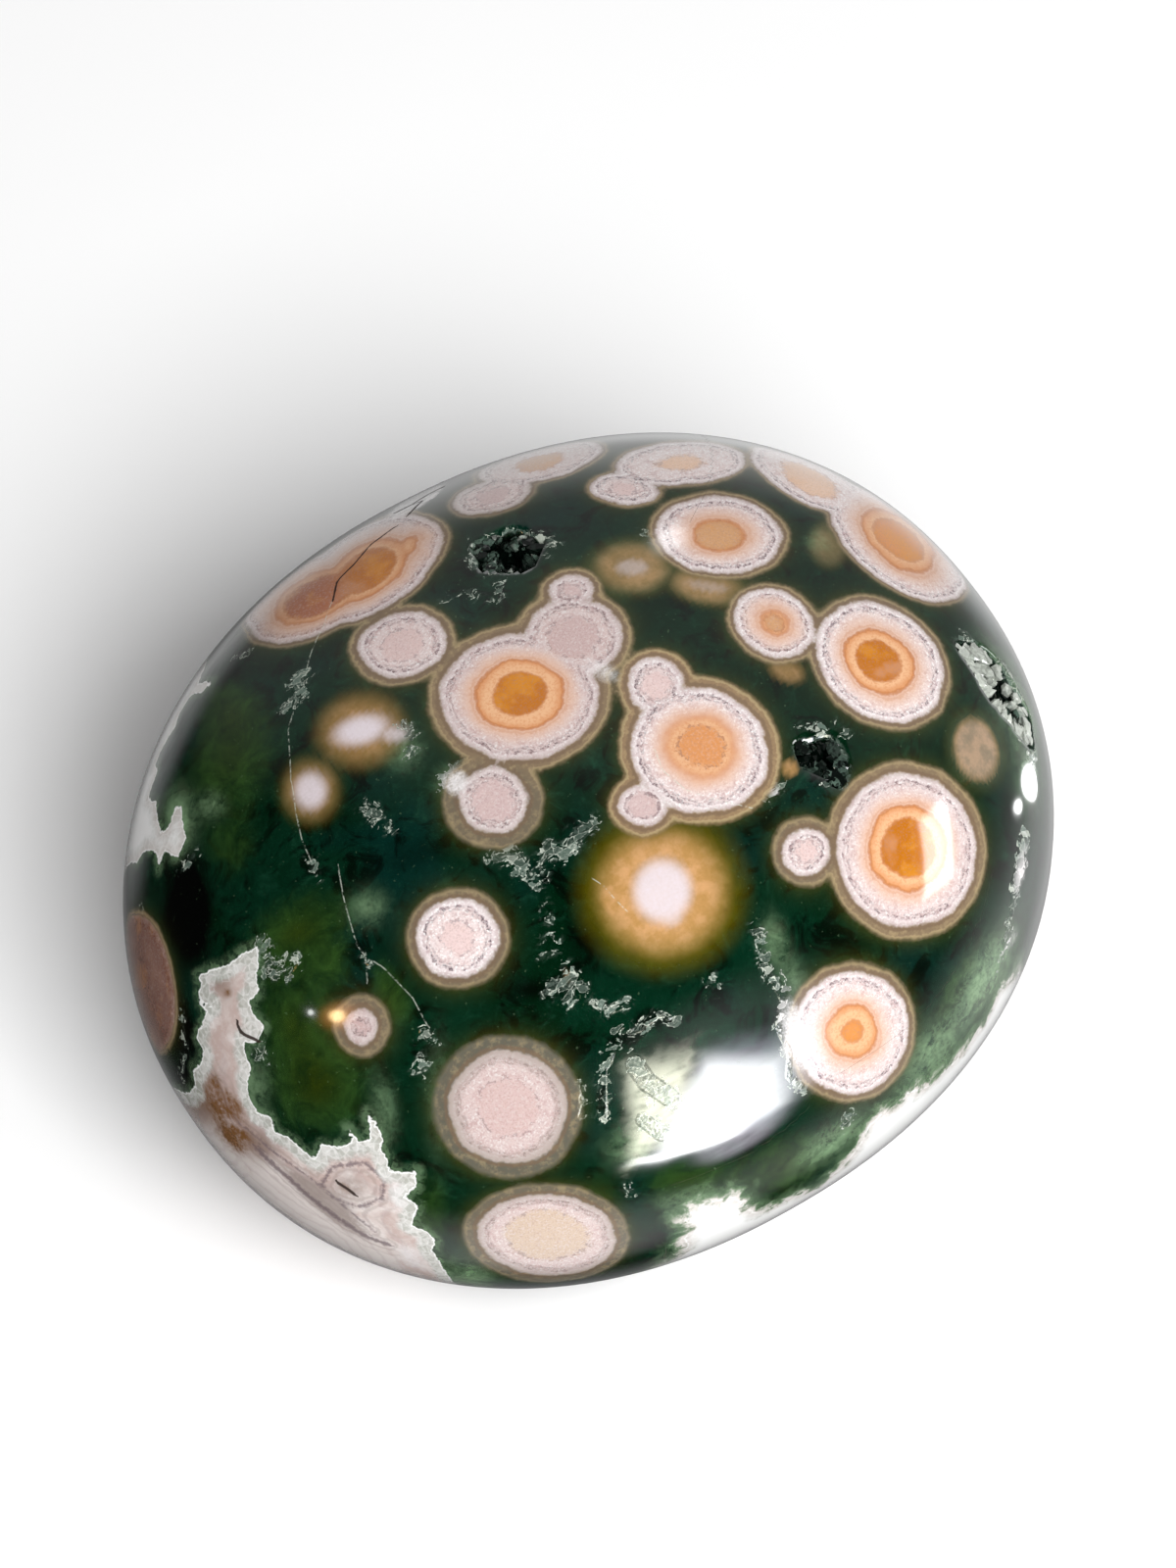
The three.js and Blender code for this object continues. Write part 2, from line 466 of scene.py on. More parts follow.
SEEN_ORBS = (
    # The long one on the left shoulder has two hearts in one peach ring, and a small lobe.
    Orb(Seen(318, 609), 10.6, 5.6, -26, 0.4, 0.48, 0.6, Heart.RUSSET, 0.35, (0.8, 0.0), 0.7, 0.5),
    Orb(Seen(377, 581), 11.8, 6.2, -32, 0.4, 0.43, 0.57, Heart.AMBER, 0.5, (-0.4, 0.1), 0.9, 0.4),
    Orb(Seen(425, 556), 4.6, 3.4, -35, 0.4, 0.0, 0.34, Heart.ORANGE, 0.5, (-0.9, 0.1), 0.8, 0.4),
    # Along the far edge.
    Orb(Seen(551, 472), 9.4, 2.7, -13, 0.4, 0.4, 0.0, Heart.TAN, 0.4, clear=0.5, brown_and_shade=0.3),
    Orb(Seen(503, 506), 6.1, 2.5, -15, 0.35, 0.45, 0.0, Heart.MAUVE, 0.2, brown_and_shade=0.3),
    Orb(Seen(694, 473), 9.8, 3.3, -3, 0.22, 0.34, 0.0, Heart.PEACH, 0.4, (0.2, -0.1), 0.2, 0.1),
    Orb(Seen(637, 499), 5.1, 2.4, 4, 0.22, 0.4, 0.0, Heart.PINK, 0.5, brown_and_shade=0.1),
    Orb(Seen(826, 490), 9.6, 3.4, 27, 0.22, 0.5, 0.0, Heart.PEACH, 0.5, clear=0.3, brown_and_shade=0.1),
    Orb(Seen(917, 553), 12.2, 6.2, 38, 0.3, 0.36, 0.52, Heart.ORANGE, 0.4, (0.0, -0.2), 0.9, 0.15),
    Orb(Seen(734, 546), 9.5, 5.8, 5, 0.4, 0.38, 0.42, Heart.TAN, 0.6, clear=0.7, brown_and_shade=0.2),
    # The chain across the top.
    Orb(Seen(583, 603), 3.5, 2.5, 0, 0.5, 0.4, 0.0, Heart.MAUVE, 0.6, brown_and_shade=0.4),
    Orb(Seen(585, 650), 7.4, 6.0, 0, 0.6, 0.52, 0.0, Heart.MAUVE, 0.6, brown_and_shade=0.5),
    Orb(Seen(530, 711), 12.0, 9.5, -3, 0.72, 0.34, 0.54, Heart.AMBER, 0.6, (0.0, -0.35), 1.0, 0.45),
    Orb(Seen(411, 658), 6.8, 4.8, -12, 0.6, 0.5, 0.0, Heart.PINK, 0.5, brown_and_shade=0.34),
    Orb(Seen(790, 636), 6.3, 5.0, 20, 0.4, 0.25, 0.35, Heart.TAN, 0.6, clear=0.6, brown_and_shade=0.2),
    Orb(Seen(898, 676), 10.5, 8.0, 40, 0.5, 0.35, 0.53, Heart.AMBER, 0.5, (-0.1, -0.2), 1.0, 0.1),
    Orb(Seen(669, 699), 4.4, 4.2, 0, 0.6, 0.5, 0.0, Heart.PINK, 0.9, brown_and_shade=0.2),
    Orb(Seen(714, 765), 10.5, 9.3, 20, 0.75, 0.33, 0.5, Heart.ORANGE, 0.85, (0.2, -0.5), 0.1, 0.15),
    Orb(Seen(656, 822), 3.8, 3.3, 0, 0.6, 0.6, 0.0, Heart.MAUVE, 0.8, brown_and_shade=0.3),
    # The right side.
    Orb(Seen(823, 869), 3.7, 3.8, 0, 0.65, 0.4, 0.0, Heart.PINK, 0.35, brown_and_shade=0.3),
    Orb(Seen(925, 868), 10.5, 11.6, -8, 0.78, 0.38, 0.54, Heart.AMBER, 0.55, (0.1, -0.3), 1,
        0.34),
    Orb(Seen(869, 1053), 8.6, 9.3, 12, 0.55, 0.17, 0.42, Heart.ORANGE, 0.45, (0.1, 0.0), 0.9, 0.2),
    # The front and the left.
    Orb(Seen(518, 1130), 8.9, 8.6, 10, 0.95, 0.5, 0.0, Heart.PINK, 0.05, brown_and_shade=0.55),
    Orb(Seen(558, 1260), 10.4, 6.1, 3, 0.9, 0.6, 0.0, Heart.CREAM, 0.15, brown_and_shade=0.5),
    Orb(Seen(467, 957), 6.2, 6.1, 0, 0.62, 0.4, 0.0, Heart.PINK, 0.36, brown_and_shade=0.04),
    Orb(Seen(369, 1047), 2.7, 2.8, 0, 0.8, 0.4, 0.0, Heart.MAUVE, 0.3, brown_and_shade=0.5),
    Orb(Seen(503, 817), 5.3, 5.1, 0, 1.0, 0.58, 0.0, Heart.MAUVE, 0.25, brown_and_shade=0.35),
    Orb(Seen(151, 1002), 3.7, 10.2, -10, 0.3, 1.0, 0.0, Heart.UMBER, 0.6, (-0.4, 0.2), 0.4, 0.1),
)

HIDDEN_ORBS = (
    Orb(Around(20, 12), 11.0, 9.6, 20, 0.5, 0.36, 0.56, Heart.AMBER, 0.5),
    Orb(Around(36, 22), 6.2, 5.4, -10, 0.4, 0.4, 0.0, Heart.PINK, 0.6),
    Orb(Around(42, 9), 7.8, 7.0, 0, 0.45, 0.3, 0.5, Heart.TAN, 0.7),
    Orb(Around(76, 20), 9.4, 8.2, 15, 0.5, 0.34, 0.55, Heart.AMBER, 0.6),
    Orb(Around(90, 8), 5.6, 5.2, 0, 0.4, 0.5, 0.0, Heart.MAUVE, 0.6),
    Orb(Around(104, 20), 6.4, 5.8, 0, 0.45, 0.45, 0.0, Heart.PINK, 0.5),
    Orb(Around(112, 4), 9.6, 8.8, -20, 0.6, 0.3, 0.52, Heart.ORANGE, 0.4),
    Orb(Around(99, -14), 6.8, 6.2, 0, 0.8, 0.4, 0.0, Heart.PINK, 0.2),
    Orb(Around(128, -22), 8.2, 7.4, 10, 0.9, 0.42, 0.0, Heart.CREAM, 0.2),
    Orb(Around(1, 8), 7.0, 6.4, 0, 0.45, 0.36, 0.48, Heart.TAN, 0.6),
    Orb(Around(-12, -8), 10.2, 9.0, -15, 0.6, 0.34, 0.56, Heart.AMBER, 0.4),
    Orb(Around(6, -18), 5.4, 5.0, 0, 0.5, 0.5, 0.0, Heart.MAUVE, 0.5),
    Orb(Around(30, -24), 8.4, 7.8, 30, 0.7, 0.4, 0.0, Heart.PINK, 0.3),
    Orb(Around(-28, -24), 6.2, 5.8, 0, 0.6, 0.4, 0.0, Heart.PINK, 0.4),
    Orb(Around(84, -36), 9.0, 8.2, 0, 0.8, 0.3, 0.5, Heart.PEACH, 0.2),
    Orb(Around(52, -42), 6.6, 6.4, 0, 0.6, 0.45, 0.0, Heart.PINK, 0.4),
    Orb(Around(142, -42), 6.6, 6.0, 0, 0.8, 0.4, 0.0, Heart.CREAM, 0.2),
    Orb(Around(-4, -42), 10.0, 9.0, 25, 0.6, 0.33, 0.55, Heart.ORANGE, 0.5),
    Orb(Around(20, -62), 6.6, 6.0, 0, 0.5, 0.4, 0.0, Heart.MAUVE, 0.5),
    Orb(Around(100, -64), 8.4, 7.6, 0, 0.6, 0.32, 0.5, Heart.TAN, 0.4),
    Orb(Around(-150, -74), 9.6, 8.6, 0, 0.8, 0.35, 0.0, Heart.PINK, 0.2),
    Orb(Around(-52, -70), 7.0, 6.4, 0, 0.5, 0.36, 0.52, Heart.AMBER, 0.6),
    Orb(Around(-124, -34), 6.6, 5.8, 0, 0.9, 0.4, 0.0, Heart.PINK, 0.2),
    Orb(Around(148, -4), 5.6, 5.2, 0, 0.6, 0.4, 0.0, Heart.TAN, 0.4),
)

SUNK_ORBS = (
    SunkOrb(Seen(368, 745), 5.3, 4.4, -14, (3.7, 1.9), 1.1, 0.62, 0.4, 0.1, 0.5),
    SunkOrb(Seen(402, 749), 2.4, 1.8, 0, (1.9, 1.0), 0.75, 0.0, 0.0, 0.0, 0.7),
    SunkOrb(Seen(676, 909), 8.6, 8.4, 0, (4.1, 4.4), 1.0, 1.0, 1.15, 0.0, 0.3),
    SunkOrb(Seen(683, 929), 2.2, 2.8, -20, (2.0, 2.2), 0.7, 0.0, 0.0, 0.0, 0.4),
    SunkOrb(Seen(628, 920), 2.0, 3.0, -24, None, 0.0, 0.9, 0.0, 0.0, 0.4),
    SunkOrb(Seen(317, 807), 3.5, 3.9, 0, (2.2, 2.5), 1.0, 0.5, 0.4, 0.3, 0.45),
    SunkOrb(Seen(645, 579), 5.0, 3.2, 0, (2.3, 1.1), 0.4, 0.62, 0.7, 0.5, 0.3),
    SunkOrb(Seen(722, 598), 4.8, 2.2, 10, (3.0, 0.7), 0.25, 0.6, 0.6, 0.5, 0.35),
    SunkOrb(Seen(846, 556), 2.2, 2.6, -10, None, 0.0, 0.3, 0.4, 0.9, 0.5),
    SunkOrb(Seen(803, 684), 2.3, 1.4, 20, None, 0.0, 0.6, 0.2, 0.5, 0.5),
    SunkOrb(Seen(996, 765), 3.1, 4.5, -14, (2.8, 4.2), 0.12, 0.8, 0.5, 1.0, 0.16),
    SunkOrb(Seen(806, 784), 1.2, 1.0, 0, None, 0.0, 0.8, 0.2, 0.2, 0.4),
    SunkOrb(Around(60, 14), 8.0, 7.4, 0, (3.8, 3.6), 0.9, 1.0, 0.7),
    SunkOrb(Around(110, -40), 9.0, 8.0, 0, (4.2, 3.8), 0.9, 1.0, 0.8),
    SunkOrb(Around(16, -4), 5.0, 4.6, 0, (2.4, 2.2), 0.7, 0.9, 0.4, 0.3),
    SunkOrb(Around(-80, -72), 8.0, 7.0, 0, (3.8, 3.4), 0.8, 0.9, 0.6),
    SunkOrb(Around(60, -66), 7.0, 6.4, 0, (3.4, 3.0), 0.9, 0.9, 0.5),
)

CLOUDS = (
    *clouds(
        Ground.MOSS,
        (Seen(235, 775), 8, 11, 25, 1), (Seen(232, 720), 6, 5, 25, 0.6),
        (Seen(235, 865), 5, 6, 0, 0.6), (Seen(305, 950), 10, 6, -30, 1.1),
        (Seen(325, 1110), 9, 8, 0, 1.2), (Seen(300, 1040), 7, 8, 0, 1),
        (Seen(340, 985), 4, 5, 0, 0.6), (Seen(400, 1012), 3.4, 6.4, -24, 0.9),
        (Seen(437, 1240), 4, 8, 0, 0.8), (Seen(610, 1215), 5, 6, 0, 0.4),
        (Seen(700, 1205), 8, 4, -12, 1), (Seen(800, 1190), 9, 5, -25, 1),
        (Seen(975, 1010), 2.6, 9, 28, 0.7), (Seen(660, 980), 12, 4, 0, 0.4),
        (Around(50, -16), 16, 10, 20, 0.9), (Around(130, 10), 10, 8, 0, 0.8),
        (Around(-20, -20), 14, 9, 0, 0.8), (Around(-100, -70), 14, 10, 0, 0.7)),
    *clouds(
        Ground.MIST,
        (Seen(1004, 1000), 3, 9, 28, 1.2), (Seen(950, 1075), 3.4, 6, 40, 1),
        (Seen(262, 1112), 2.2, 5, 0, 0.6), (Seen(468, 800), 2.8, 2.4, 20, 1.3),
        (Seen(186, 706), 1.6, 5, 30, 0.9), (Seen(182, 838), 2.6, 5, 0, 1.2),
        (Seen(215, 822), 2.2, 2.2, 0, 0.8), (Seen(376, 926), 3, 2.8, 0, 0.6),
        (Seen(838, 553), 2.2, 2.2, 0, 0.7), (Seen(790, 960), 2, 4, -14, 0.6),
        (Seen(812, 1005), 2, 5, -20, 0.5), (Seen(448, 1120), 2, 9, 0, 0.3),
        (Seen(392, 1130), 2, 5, -10, 0.5), (Seen(640, 1170), 4, 3, 0, 0.4),
        (Seen(700, 1226), 5, 1.6, 0, 0.6), (Seen(850, 1165), 7, 2.4, -38, 0.9),
        (Seen(412, 765), 3, 3, 0, 0.55), (Seen(1030, 705), 3, 9, -24, 0.8),
        (Seen(1048, 780), 3, 8, -8, 0.4), (Seen(482, 1304), 5, 2.2, 24, 1.1),
        (Seen(358, 1212), 5.4, 4, 24, 0.8), (Seen(330, 1226), 11, 2, 40, 1.4),
        (Around(120, -66), 14, 10, 0, 0.5), (Around(0, 24), 8, 5, 0, 0.4)),
    # Dark patches; those over the front left quartz are painted shade.
    *clouds(
        Ground.DARK_AND_SHADE,
        (Seen(192, 930), 4.6, 11, 0, 1.5), (Seen(180, 1040), 3, 8, -25, 1.2),
        (Seen(455, 868), 7, 3.4, 14, 0.4), (Seen(330, 835), 5, 4, 0, 0.5),
        (Seen(600, 960), 6, 8, 0, 0.6), (Seen(545, 1010), 8, 3, 0, 0.7),
        (Seen(408, 880), 7, 5, 0, 0.45), (Seen(765, 862), 4, 5, 0, 0.45),
        (Seen(940, 1000), 6, 4, 0, 0.5), (Seen(860, 965), 9, 4, 0, 0.5),
        (Seen(1030, 830), 2.4, 8, -6, 0.6), (Seen(196, 1112), 3, 7, -30, 0.9),
        (Seen(226, 1000), 2.6, 5, -10, 0.45), (Seen(262, 1168), 5, 3.6, 36, 0.55),
        (Around(90, -5), 12, 10, 0, 0.8), (Around(10, -32), 12, 9, 0, 0.7)),
    *clouds(
        Ground.STAIN,
        (Seen(352, 1212), 1.9, 1, 36, 0.8), (Seen(228, 1128), 3.4, 7.6, -30, 1.35),
        (Seen(242, 1164), 3.2, 1.8, 40, 1.2), (Seen(250, 1052), 2.4, 1.8, 30, 0.4),
        (Seen(232, 1013), 0.9, 0.9, 0, 1.2), (Seen(156, 847), 1.4, 2.4, 0, 0.5),
        (Seen(290, 1215), 5, 1.4, 42, 0.3), (Seen(579, 997), 0.9, 2, -10, 1.1),
        (Seen(590, 1122), 0.7, 2.6, 0, 1), (Seen(782, 983), 0.9, 1.2, 0, 0.6),
        (Around(48, -38), 6, 4, 10, 0.6)),
    # Frost; the patches left of the orb at (869, 1053) and along the shoulder crack are painted
    # glare.
    *clouds(
        Ground.FROST_AND_GLARE,
        (Seen(812, 1056), 3, 7.6, -14, 1.1), (Seen(614, 684), 5.4, 3, 24, 0.75),
        (Seen(420, 1282), 5, 2.6, 34, 0.9), (Seen(404, 1226), 4, 4, 0, 0.5),
        (Seen(402, 1208), 1.6, 4.6, -20, 0.5), (Seen(352, 1180), 3.6, 1.2, -10, 0.5),
        (Seen(1042, 890), 1.4, 5.4, 10, 0.65), (Seen(1032, 960), 1.4, 4.6, 22, 0.6),
        (Seen(466, 799), 2.6, 2.8, 30, 1.1), (Seen(690, 556), 1.4, 2.4, 20, 0.6),
        (Seen(424, 511), 5.6, 1.3, -32, 2), (Seen(790, 808), 2, 1.2, 20, 0.6),
        (Seen(366, 744), 3, 1.3, -10, 0.5)),
)

STROKES = (
    # Open cracks: the one through the left shoulder's orb, and short ones in the quartz.
    *strokes(
        Vein.CRACK,
        (0.1, (404, 537), (378, 556), (362, 575), (344, 593), (340, 612)),
        (0.14, (404, 523), (420, 515), (436, 505), (452, 497)), (0.12, (416, 526), (431, 511)),
        (0.2, (242, 1044), (246, 1054), (263, 1062)),
        (0.24, (345, 1207), (353, 1212), (362, 1219))),
    # The crack's healed threads down through the small orb, and others.
    *strokes(
        Vein.THREAD,
        (0.03, (340, 612), (335, 622), (330, 641), (324, 650), (317, 667), (313, 682)),
        (0.03, (299, 728), (294, 744), (296, 774), (297, 800)),
        (0.03, (299, 806), (302, 830), (308, 857), (318, 880)),
        (0.03, (345, 884), (351, 918), (364, 964), (373, 976), (375, 1002)),
        (0.03, (373, 976), (391, 987), (421, 1018), (437, 1048)),
        (0.02, (604, 896), (616, 904), (628, 918), (640, 930)),
        (0.04, (668, 764), (676, 786), (700, 806), (734, 817), (766, 824))),
    # Seams in the front left quartz, the eye, and seams on the hidden sides.
    *strokes(
        Vein.SEAM,
        (0.16, (252, 1152), (262, 1160), (272, 1170), (300, 1190), (322, 1206), (340, 1222),
         (362, 1240), (382, 1256)),
        (0.55, (262, 1172), (292, 1200), (330, 1232), (374, 1262), (396, 1270)),
        (0.16, (213, 1092), (226, 1110), (232, 1130), (247, 1150)),
        (0.26, (328, 1209), (340, 1190), (372, 1186), (392, 1204), (390, 1222), (366, 1232),
         (340, 1222), (328, 1209)),
        (0.14, Around(28, -42), Around(46, -44), Around(60, -40), Around(74, -30)),
        (0.14, Around(-150, -30), Around(-160, -44), Around(178, -44))),
    *strokes(
        Vein.CRYSTALS,
        # Beside the crack from the left shoulder.
        (0.4, (400, 528), (424, 518), (446, 502)),
        (0.9, (312, 684), (300, 694), (308, 712), (292, 722)), (0.45, (318, 880), (323, 892)),
        (0.4, (373, 978), (378, 984)), (0.6, (432, 1052), (440, 1060)),
        (0.35, (428, 1078), (436, 1092), (424, 1096)),
        # Crystal clusters that the polish cut flush.
        (0.75, (550, 884), (560, 868), (578, 872), (590, 852), (604, 840)),
        (0.8, (506, 876), (520, 868), (532, 884), (548, 902)),
        (0.15, (552, 908), (562, 940), (566, 966)), (0.25, (560, 930), (552, 972)),
        (0.7, (562, 1012), (578, 988), (592, 1008)), (0.9, (578, 990), (580, 1022)),
        (0.4, (600, 1018), (622, 1032), (640, 1026)),
        (0.3, (625, 1050), (650, 1052), (672, 1036), (690, 1040)),
        (0.7, (774, 950), (782, 984), (800, 1018)), (0.2, (726, 1001), (727, 1008)),
        (0.35, (588, 1108), (592, 1122), (588, 1138)),
        (0.25, (617, 1082), (616, 1110), (618, 1140)), (0.3, (626, 1070), (622, 1084)),
        (1.3, (648, 1086), (660, 1104), (684, 1120)), (1, (656, 1142), (676, 1158)),
        (0.3, (640, 1212), (646, 1216)), (0.3, (452, 612), (480, 604), (507, 612), (509, 596)),
        (1, (476, 778), (452, 796), (470, 812), (486, 806)),
        (0.6, (770, 800), (784, 808), (797, 802)), (0.2, (858, 740), (864, 748)),
        (0.6, (374, 822), (384, 830), (396, 846)), (0.3, (240, 672), (254, 664)),
        (0.25, (410, 738), (424, 752), (416, 772)), (0.3, (656, 540), (664, 548)),
        # Round the open pockets.
        (0.8, (484, 556), (498, 548), (520, 544), (545, 546), (562, 556)),
        (0.9, (482, 566), (492, 578), (510, 582)), (0.4, (540, 560), (560, 566), (566, 556)),
        (0.5, (818, 742), (836, 744), (846, 752)), (0.4, (860, 770), (850, 792), (842, 800)),
        (0.3, (860, 790), (878, 808)),
        (1.2, (986, 650), (994, 672), (1010, 694), (1026, 716), (1040, 744)),
        (1.6, (1024, 684), (1040, 712), (1050, 744), (1054, 770)),
        (1.5, (1044, 860), (1042, 884), (1036, 906)),
        (0.6, (1034, 908), (1034, 922), (1028, 950), (1020, 985)),
        (0.4, (800, 1020), (794, 1048), (806, 1074), (804, 1098), (820, 1110)),
        (0.8, (266, 962), (274, 990), (292, 992), (300, 980)), (0.9, (262, 1076), (270, 1076)),
        (0.3, (200, 870), (186, 884)), (0.3, (142, 924), (146, 934)),
        (0.3, (184, 1030), (190, 1070), (186, 1100)), (0.4, (862, 1150), (866, 1136)),
        # On the sides that the main view hides.
        (0.7, Around(66, 2), Around(58, 0), Around(54, -6)),
        (0.6, Around(70, -12), Around(62, -15), Around(54, -13)),
        (0.3, Around(24, 2), Around(18, -6), Around(12, -10), Around(4, -26)),
        (0.3, Around(120, -8), Around(114, -16), Around(108, -28)),
        (0.4, Around(-20, -36), Around(-24, -50), Around(-30, -62)),
        (0.5, Around(70, -52), Around(78, -62), Around(74, -74))),
)

QUARTZ_FIELDS = (
    # A thin band down the left edge with a toothed foot.
    QuartzField((
        (208, 683), (202, 698), (217, 696), (206, 706), (194, 710), (182, 729), (178, 743),
        (165, 764), (158, 781), (161, 784), (151, 814), (159, 819), (161, 836), (165, 850),
        (172, 846), (179, 824), (184, 824), (186, 840), (189, 854), (182, 874), (176, 872),
        (168, 866), (162, 886), (159, 868), (148, 867), (139, 881), (134, 880), (127, 890),
        Around(150, -2), Around(141, -9), Around(129, -1), Around(123, 14), Around(124, 25)),
        Around(138, 10), 0.88),
    # The front left field, from the teeth at its left to the eye and on under the stone.
    QuartzField((
        (194, 1116), (200, 1108), (197, 1093), (206, 1084), (207, 1072), (201, 1059), (206, 1046),
        (211, 1032), (204, 1024), (216, 1027), (203, 1019), (205, 1004), (201, 996), (220, 988),
        (231, 985), (247, 973), (263, 967), (263, 982), (261, 1000), (264, 1013), (254, 1022),
        (257, 1036), (269, 1047), (262, 1063), (249, 1064), (250, 1076), (257, 1091), (251, 1103),
        (254, 1120), (262, 1136), (277, 1139), (281, 1154), (292, 1160), (301, 1166), (305, 1172),
        (317, 1180), (320, 1183), (330, 1168), (343, 1171), (359, 1166), (355, 1151), (364, 1166),
        (378, 1163), (378, 1150), (375, 1137), (384, 1147), (390, 1160), (391, 1174), (396, 1183),
        (397, 1194), (413, 1197), (425, 1195), (424, 1211), (413, 1222), (425, 1230), (421, 1252),
        (434, 1256), (444, 1266), (440, 1276), (449, 1288), (456, 1300), (466, 1310),
        Around(-135, -26), Around(-142, -44), Around(-164, -54), Around(172, -46), Around(164, -32),
        Around(170, -18), Around(177, -8)),
        Around(-160, -25)),
    # The front right field, white out to the edge and on under the stone.
    QuartzField((
        (640, 1309), (660, 1297), (681, 1288), (697, 1277), (703, 1271), (699, 1264), (703, 1256),
        (701, 1244), (705, 1233), (720, 1227), (734, 1226), (746, 1221), (756, 1226), (765, 1234),
        (771, 1238), (785, 1233), (806, 1222), (820, 1218), (831, 1213), (846, 1202), (861, 1190),
        (879, 1166), (886, 1150), (900, 1136), (919, 1126), (925, 1117), (931, 1114), (945, 1110),
        (959, 1098), (982, 1075), (1005, 1044), (1023, 1006),
        Around(-48, -8), Around(-45, -26), Around(-62, -42), Around(-86, -50), Around(-106, -42),
        Around(-113, -30)),
        Around(-80, -30), 1.0),
    # A tongue across the back.
    QuartzField((
        Around(22, -34), Around(30, -38), Around(44, -30), Around(58, -30), Around(72, -24),
        Around(84, -22), Around(88, -28), Around(74, -34), Around(66, -42), Around(60, -54),
        Around(44, -58), Around(36, -50), Around(26, -46)),
        Around(52, -36)),
)


# ---------------------------------------------------------------- fields over the surface

@dataclass
class Growth:
    """Works out, at every point of the surface, how far the stone's orbs, veins and fields are."""

    pebble: Pebble
    view: MainView
    points: Array
    normals: Array
    seen: Array = field(init=False)
    front: Array = field(init=False)
    white_blend: float = 0.32  # mm over which touching orbs' parts run together
    rim_blend: float = 0.45
    core_blend: float = 0.4
    peach_blend: float = 0.3
    haze: float = 0.5  # mm over which the haze round an orb fades
    falloff: float = 7.0  # how fast an orb's colours give way to its neighbours'
    least_slant: float = 0.3  # cosine at which an oval's stretch towards the edge stops
    glow_span: Pair = (0.8, 1.7)  # shares of a sunken orb between which its glow fades
    cloud_fall: float = 1.6  # how steeply a cloud's bell curve falls
    cloud_most: float = 1.5  # the most that clouds of one kind add up to

    def __post_init__(self) -> None:
        """Projects the points once, and marks how squarely they face the main view."""
        self.seen = self.view.project(self.points)
        self.front = smoothstep(0.06, 0.24, self.view.facing(self.points, self.normals))

    def oval(self, place: Place, wide: float, high: float,
             tilt: float) -> tuple[Array, Array, Array]:
        """Lays an oval on the surface and measures every point in it.

        The oval's two half axes are slid along the sight line, or laid along the surface for a
        hidden place, until they lie in the tangent plane. A point's coordinates are its parts
        along them, and its height over the plane counts as a third. Where the main view sees
        the point, the first two are read in that view.

        Args:
            place: its middle.
            wide: mm across, the long way.
            high: mm across, the short way.
            tilt: degrees that the long way falls to the right.
        Returns:
            Coordinates (n, 2) with the edge at length 1, the same length with height (n,),
            and the distance from the middle in mm (n,).
        """
        middle = self.view.place(place)
        out = self.pebble.normal(middle)
        angle = math.radians(tilt)
        if isinstance(place, Seen):
            right, up, _ = self.view.axes
            sight = unit(self.view.eye - middle)
        else:
            right = unit(np.cross([0.0, 0.0, 1.0], out))
            up = np.cross(out, right)
            sight = out
        long = (right * math.cos(angle) - up * math.sin(angle)) * wide / 2
        across = (right * math.sin(angle) + up * math.cos(angle)) * high / 2
        slant = max(float(sight @ out), self.least_slant)
        long = long - sight * (long @ out) / slant
        across = across - sight * (across @ out) / slant
        radius = math.sqrt(np.linalg.norm(long) * np.linalg.norm(across))
        q = self.points - middle
        spot = np.linalg.solve(np.stack([long, across, out * radius], 1), q.T).T
        flat, height = spot[:, :2], spot[:, 2]
        if isinstance(place, Seen):
            away = (self.seen - [place.x, place.y]) / self.view.scale
            in_view = np.stack([
                (away[:, 0] * math.cos(angle) + away[:, 1] * math.sin(angle)) / (wide / 2),
                (away[:, 0] * math.sin(angle) - away[:, 1] * math.cos(angle)) / (high / 2)], 1)
            flat = flat + (in_view - flat) * self.front[:, None]
            height = height * (1 - self.front)
        return flat, np.sqrt((flat ** 2).sum(1) + height ** 2), np.linalg.norm(q, axis=1)

    def orbs(self, orbs: Sequence[Orb]) -> dict[str, Array]:
        """Distances to the bands of all the orbs.

        A band at share k of an orb lies r * (1 - k / rho) mm away, where r is the distance from
        the middle and rho the share at the point. Orbs that touch are joined by a smooth
        minimum of their distances.

        Args:
            orbs: the orbs.
        Returns:
            Arrays "bands" (white edge, rim edge, haze), "heart" (core edge, peach edge, how
            crisp, how browned and painted in shade) and "tone" (heart colour and amber of the rim).
        """
        count = len(self.points)
        white, rim, core, peach = np.full((4, count), FAR)
        weights = np.full(count, 1e-12)
        tone = np.zeros((count, 6))
        for orb in orbs:
            flat, rho, away = self.oval(orb.place, orb.wide, orb.high, orb.tilt)
            rho = np.maximum(rho, 1e-3)
            edge = away * (1 - 1 / rho)
            white = smooth_minimum(white, edge, self.white_blend)
            rim = smooth_minimum(rim, edge - orb.rim, self.rim_blend)
            tilt = math.radians(orb.tilt)
            slide = np.array([
                (orb.shift[0] * math.cos(tilt) + orb.shift[1] * math.sin(tilt)) / (orb.wide / 2),
                (orb.shift[0] * math.sin(tilt) - orb.shift[1] * math.cos(tilt)) / (orb.high / 2)])
            moved = flat - slide * (1 - np.clip(rho, 0, 1))[:, None]
            inner = np.maximum(np.hypot(np.hypot(*moved.T), np.sqrt(np.maximum(
                rho ** 2 - (flat ** 2).sum(1), 0))), 1e-3)
            mean = math.sqrt(orb.wide * orb.high) / 2
            if orb.core:
                core = smooth_minimum(core, mean * (inner - orb.core), self.core_blend)
            if orb.peach:
                peach = smooth_minimum(peach, mean * (inner - orb.peach), self.peach_blend)
            weight = np.exp(-self.falloff * np.minimum(rho, 8))
            weights += weight
            tone += weight[:, None] * np.array([
                *orb.heart.value, orb.amber_rim, orb.heart.crisp * orb.clear, orb.brown_and_shade])
        tone /= weights[:, None]
        return {
            "bands": np.stack([white, rim, np.exp(-np.maximum(rim, 0) / self.haze)], 1),
            "heart": np.stack([core, peach, *tone[:, 4:].T], 1),
            "tone": tone[:, :4],
        }

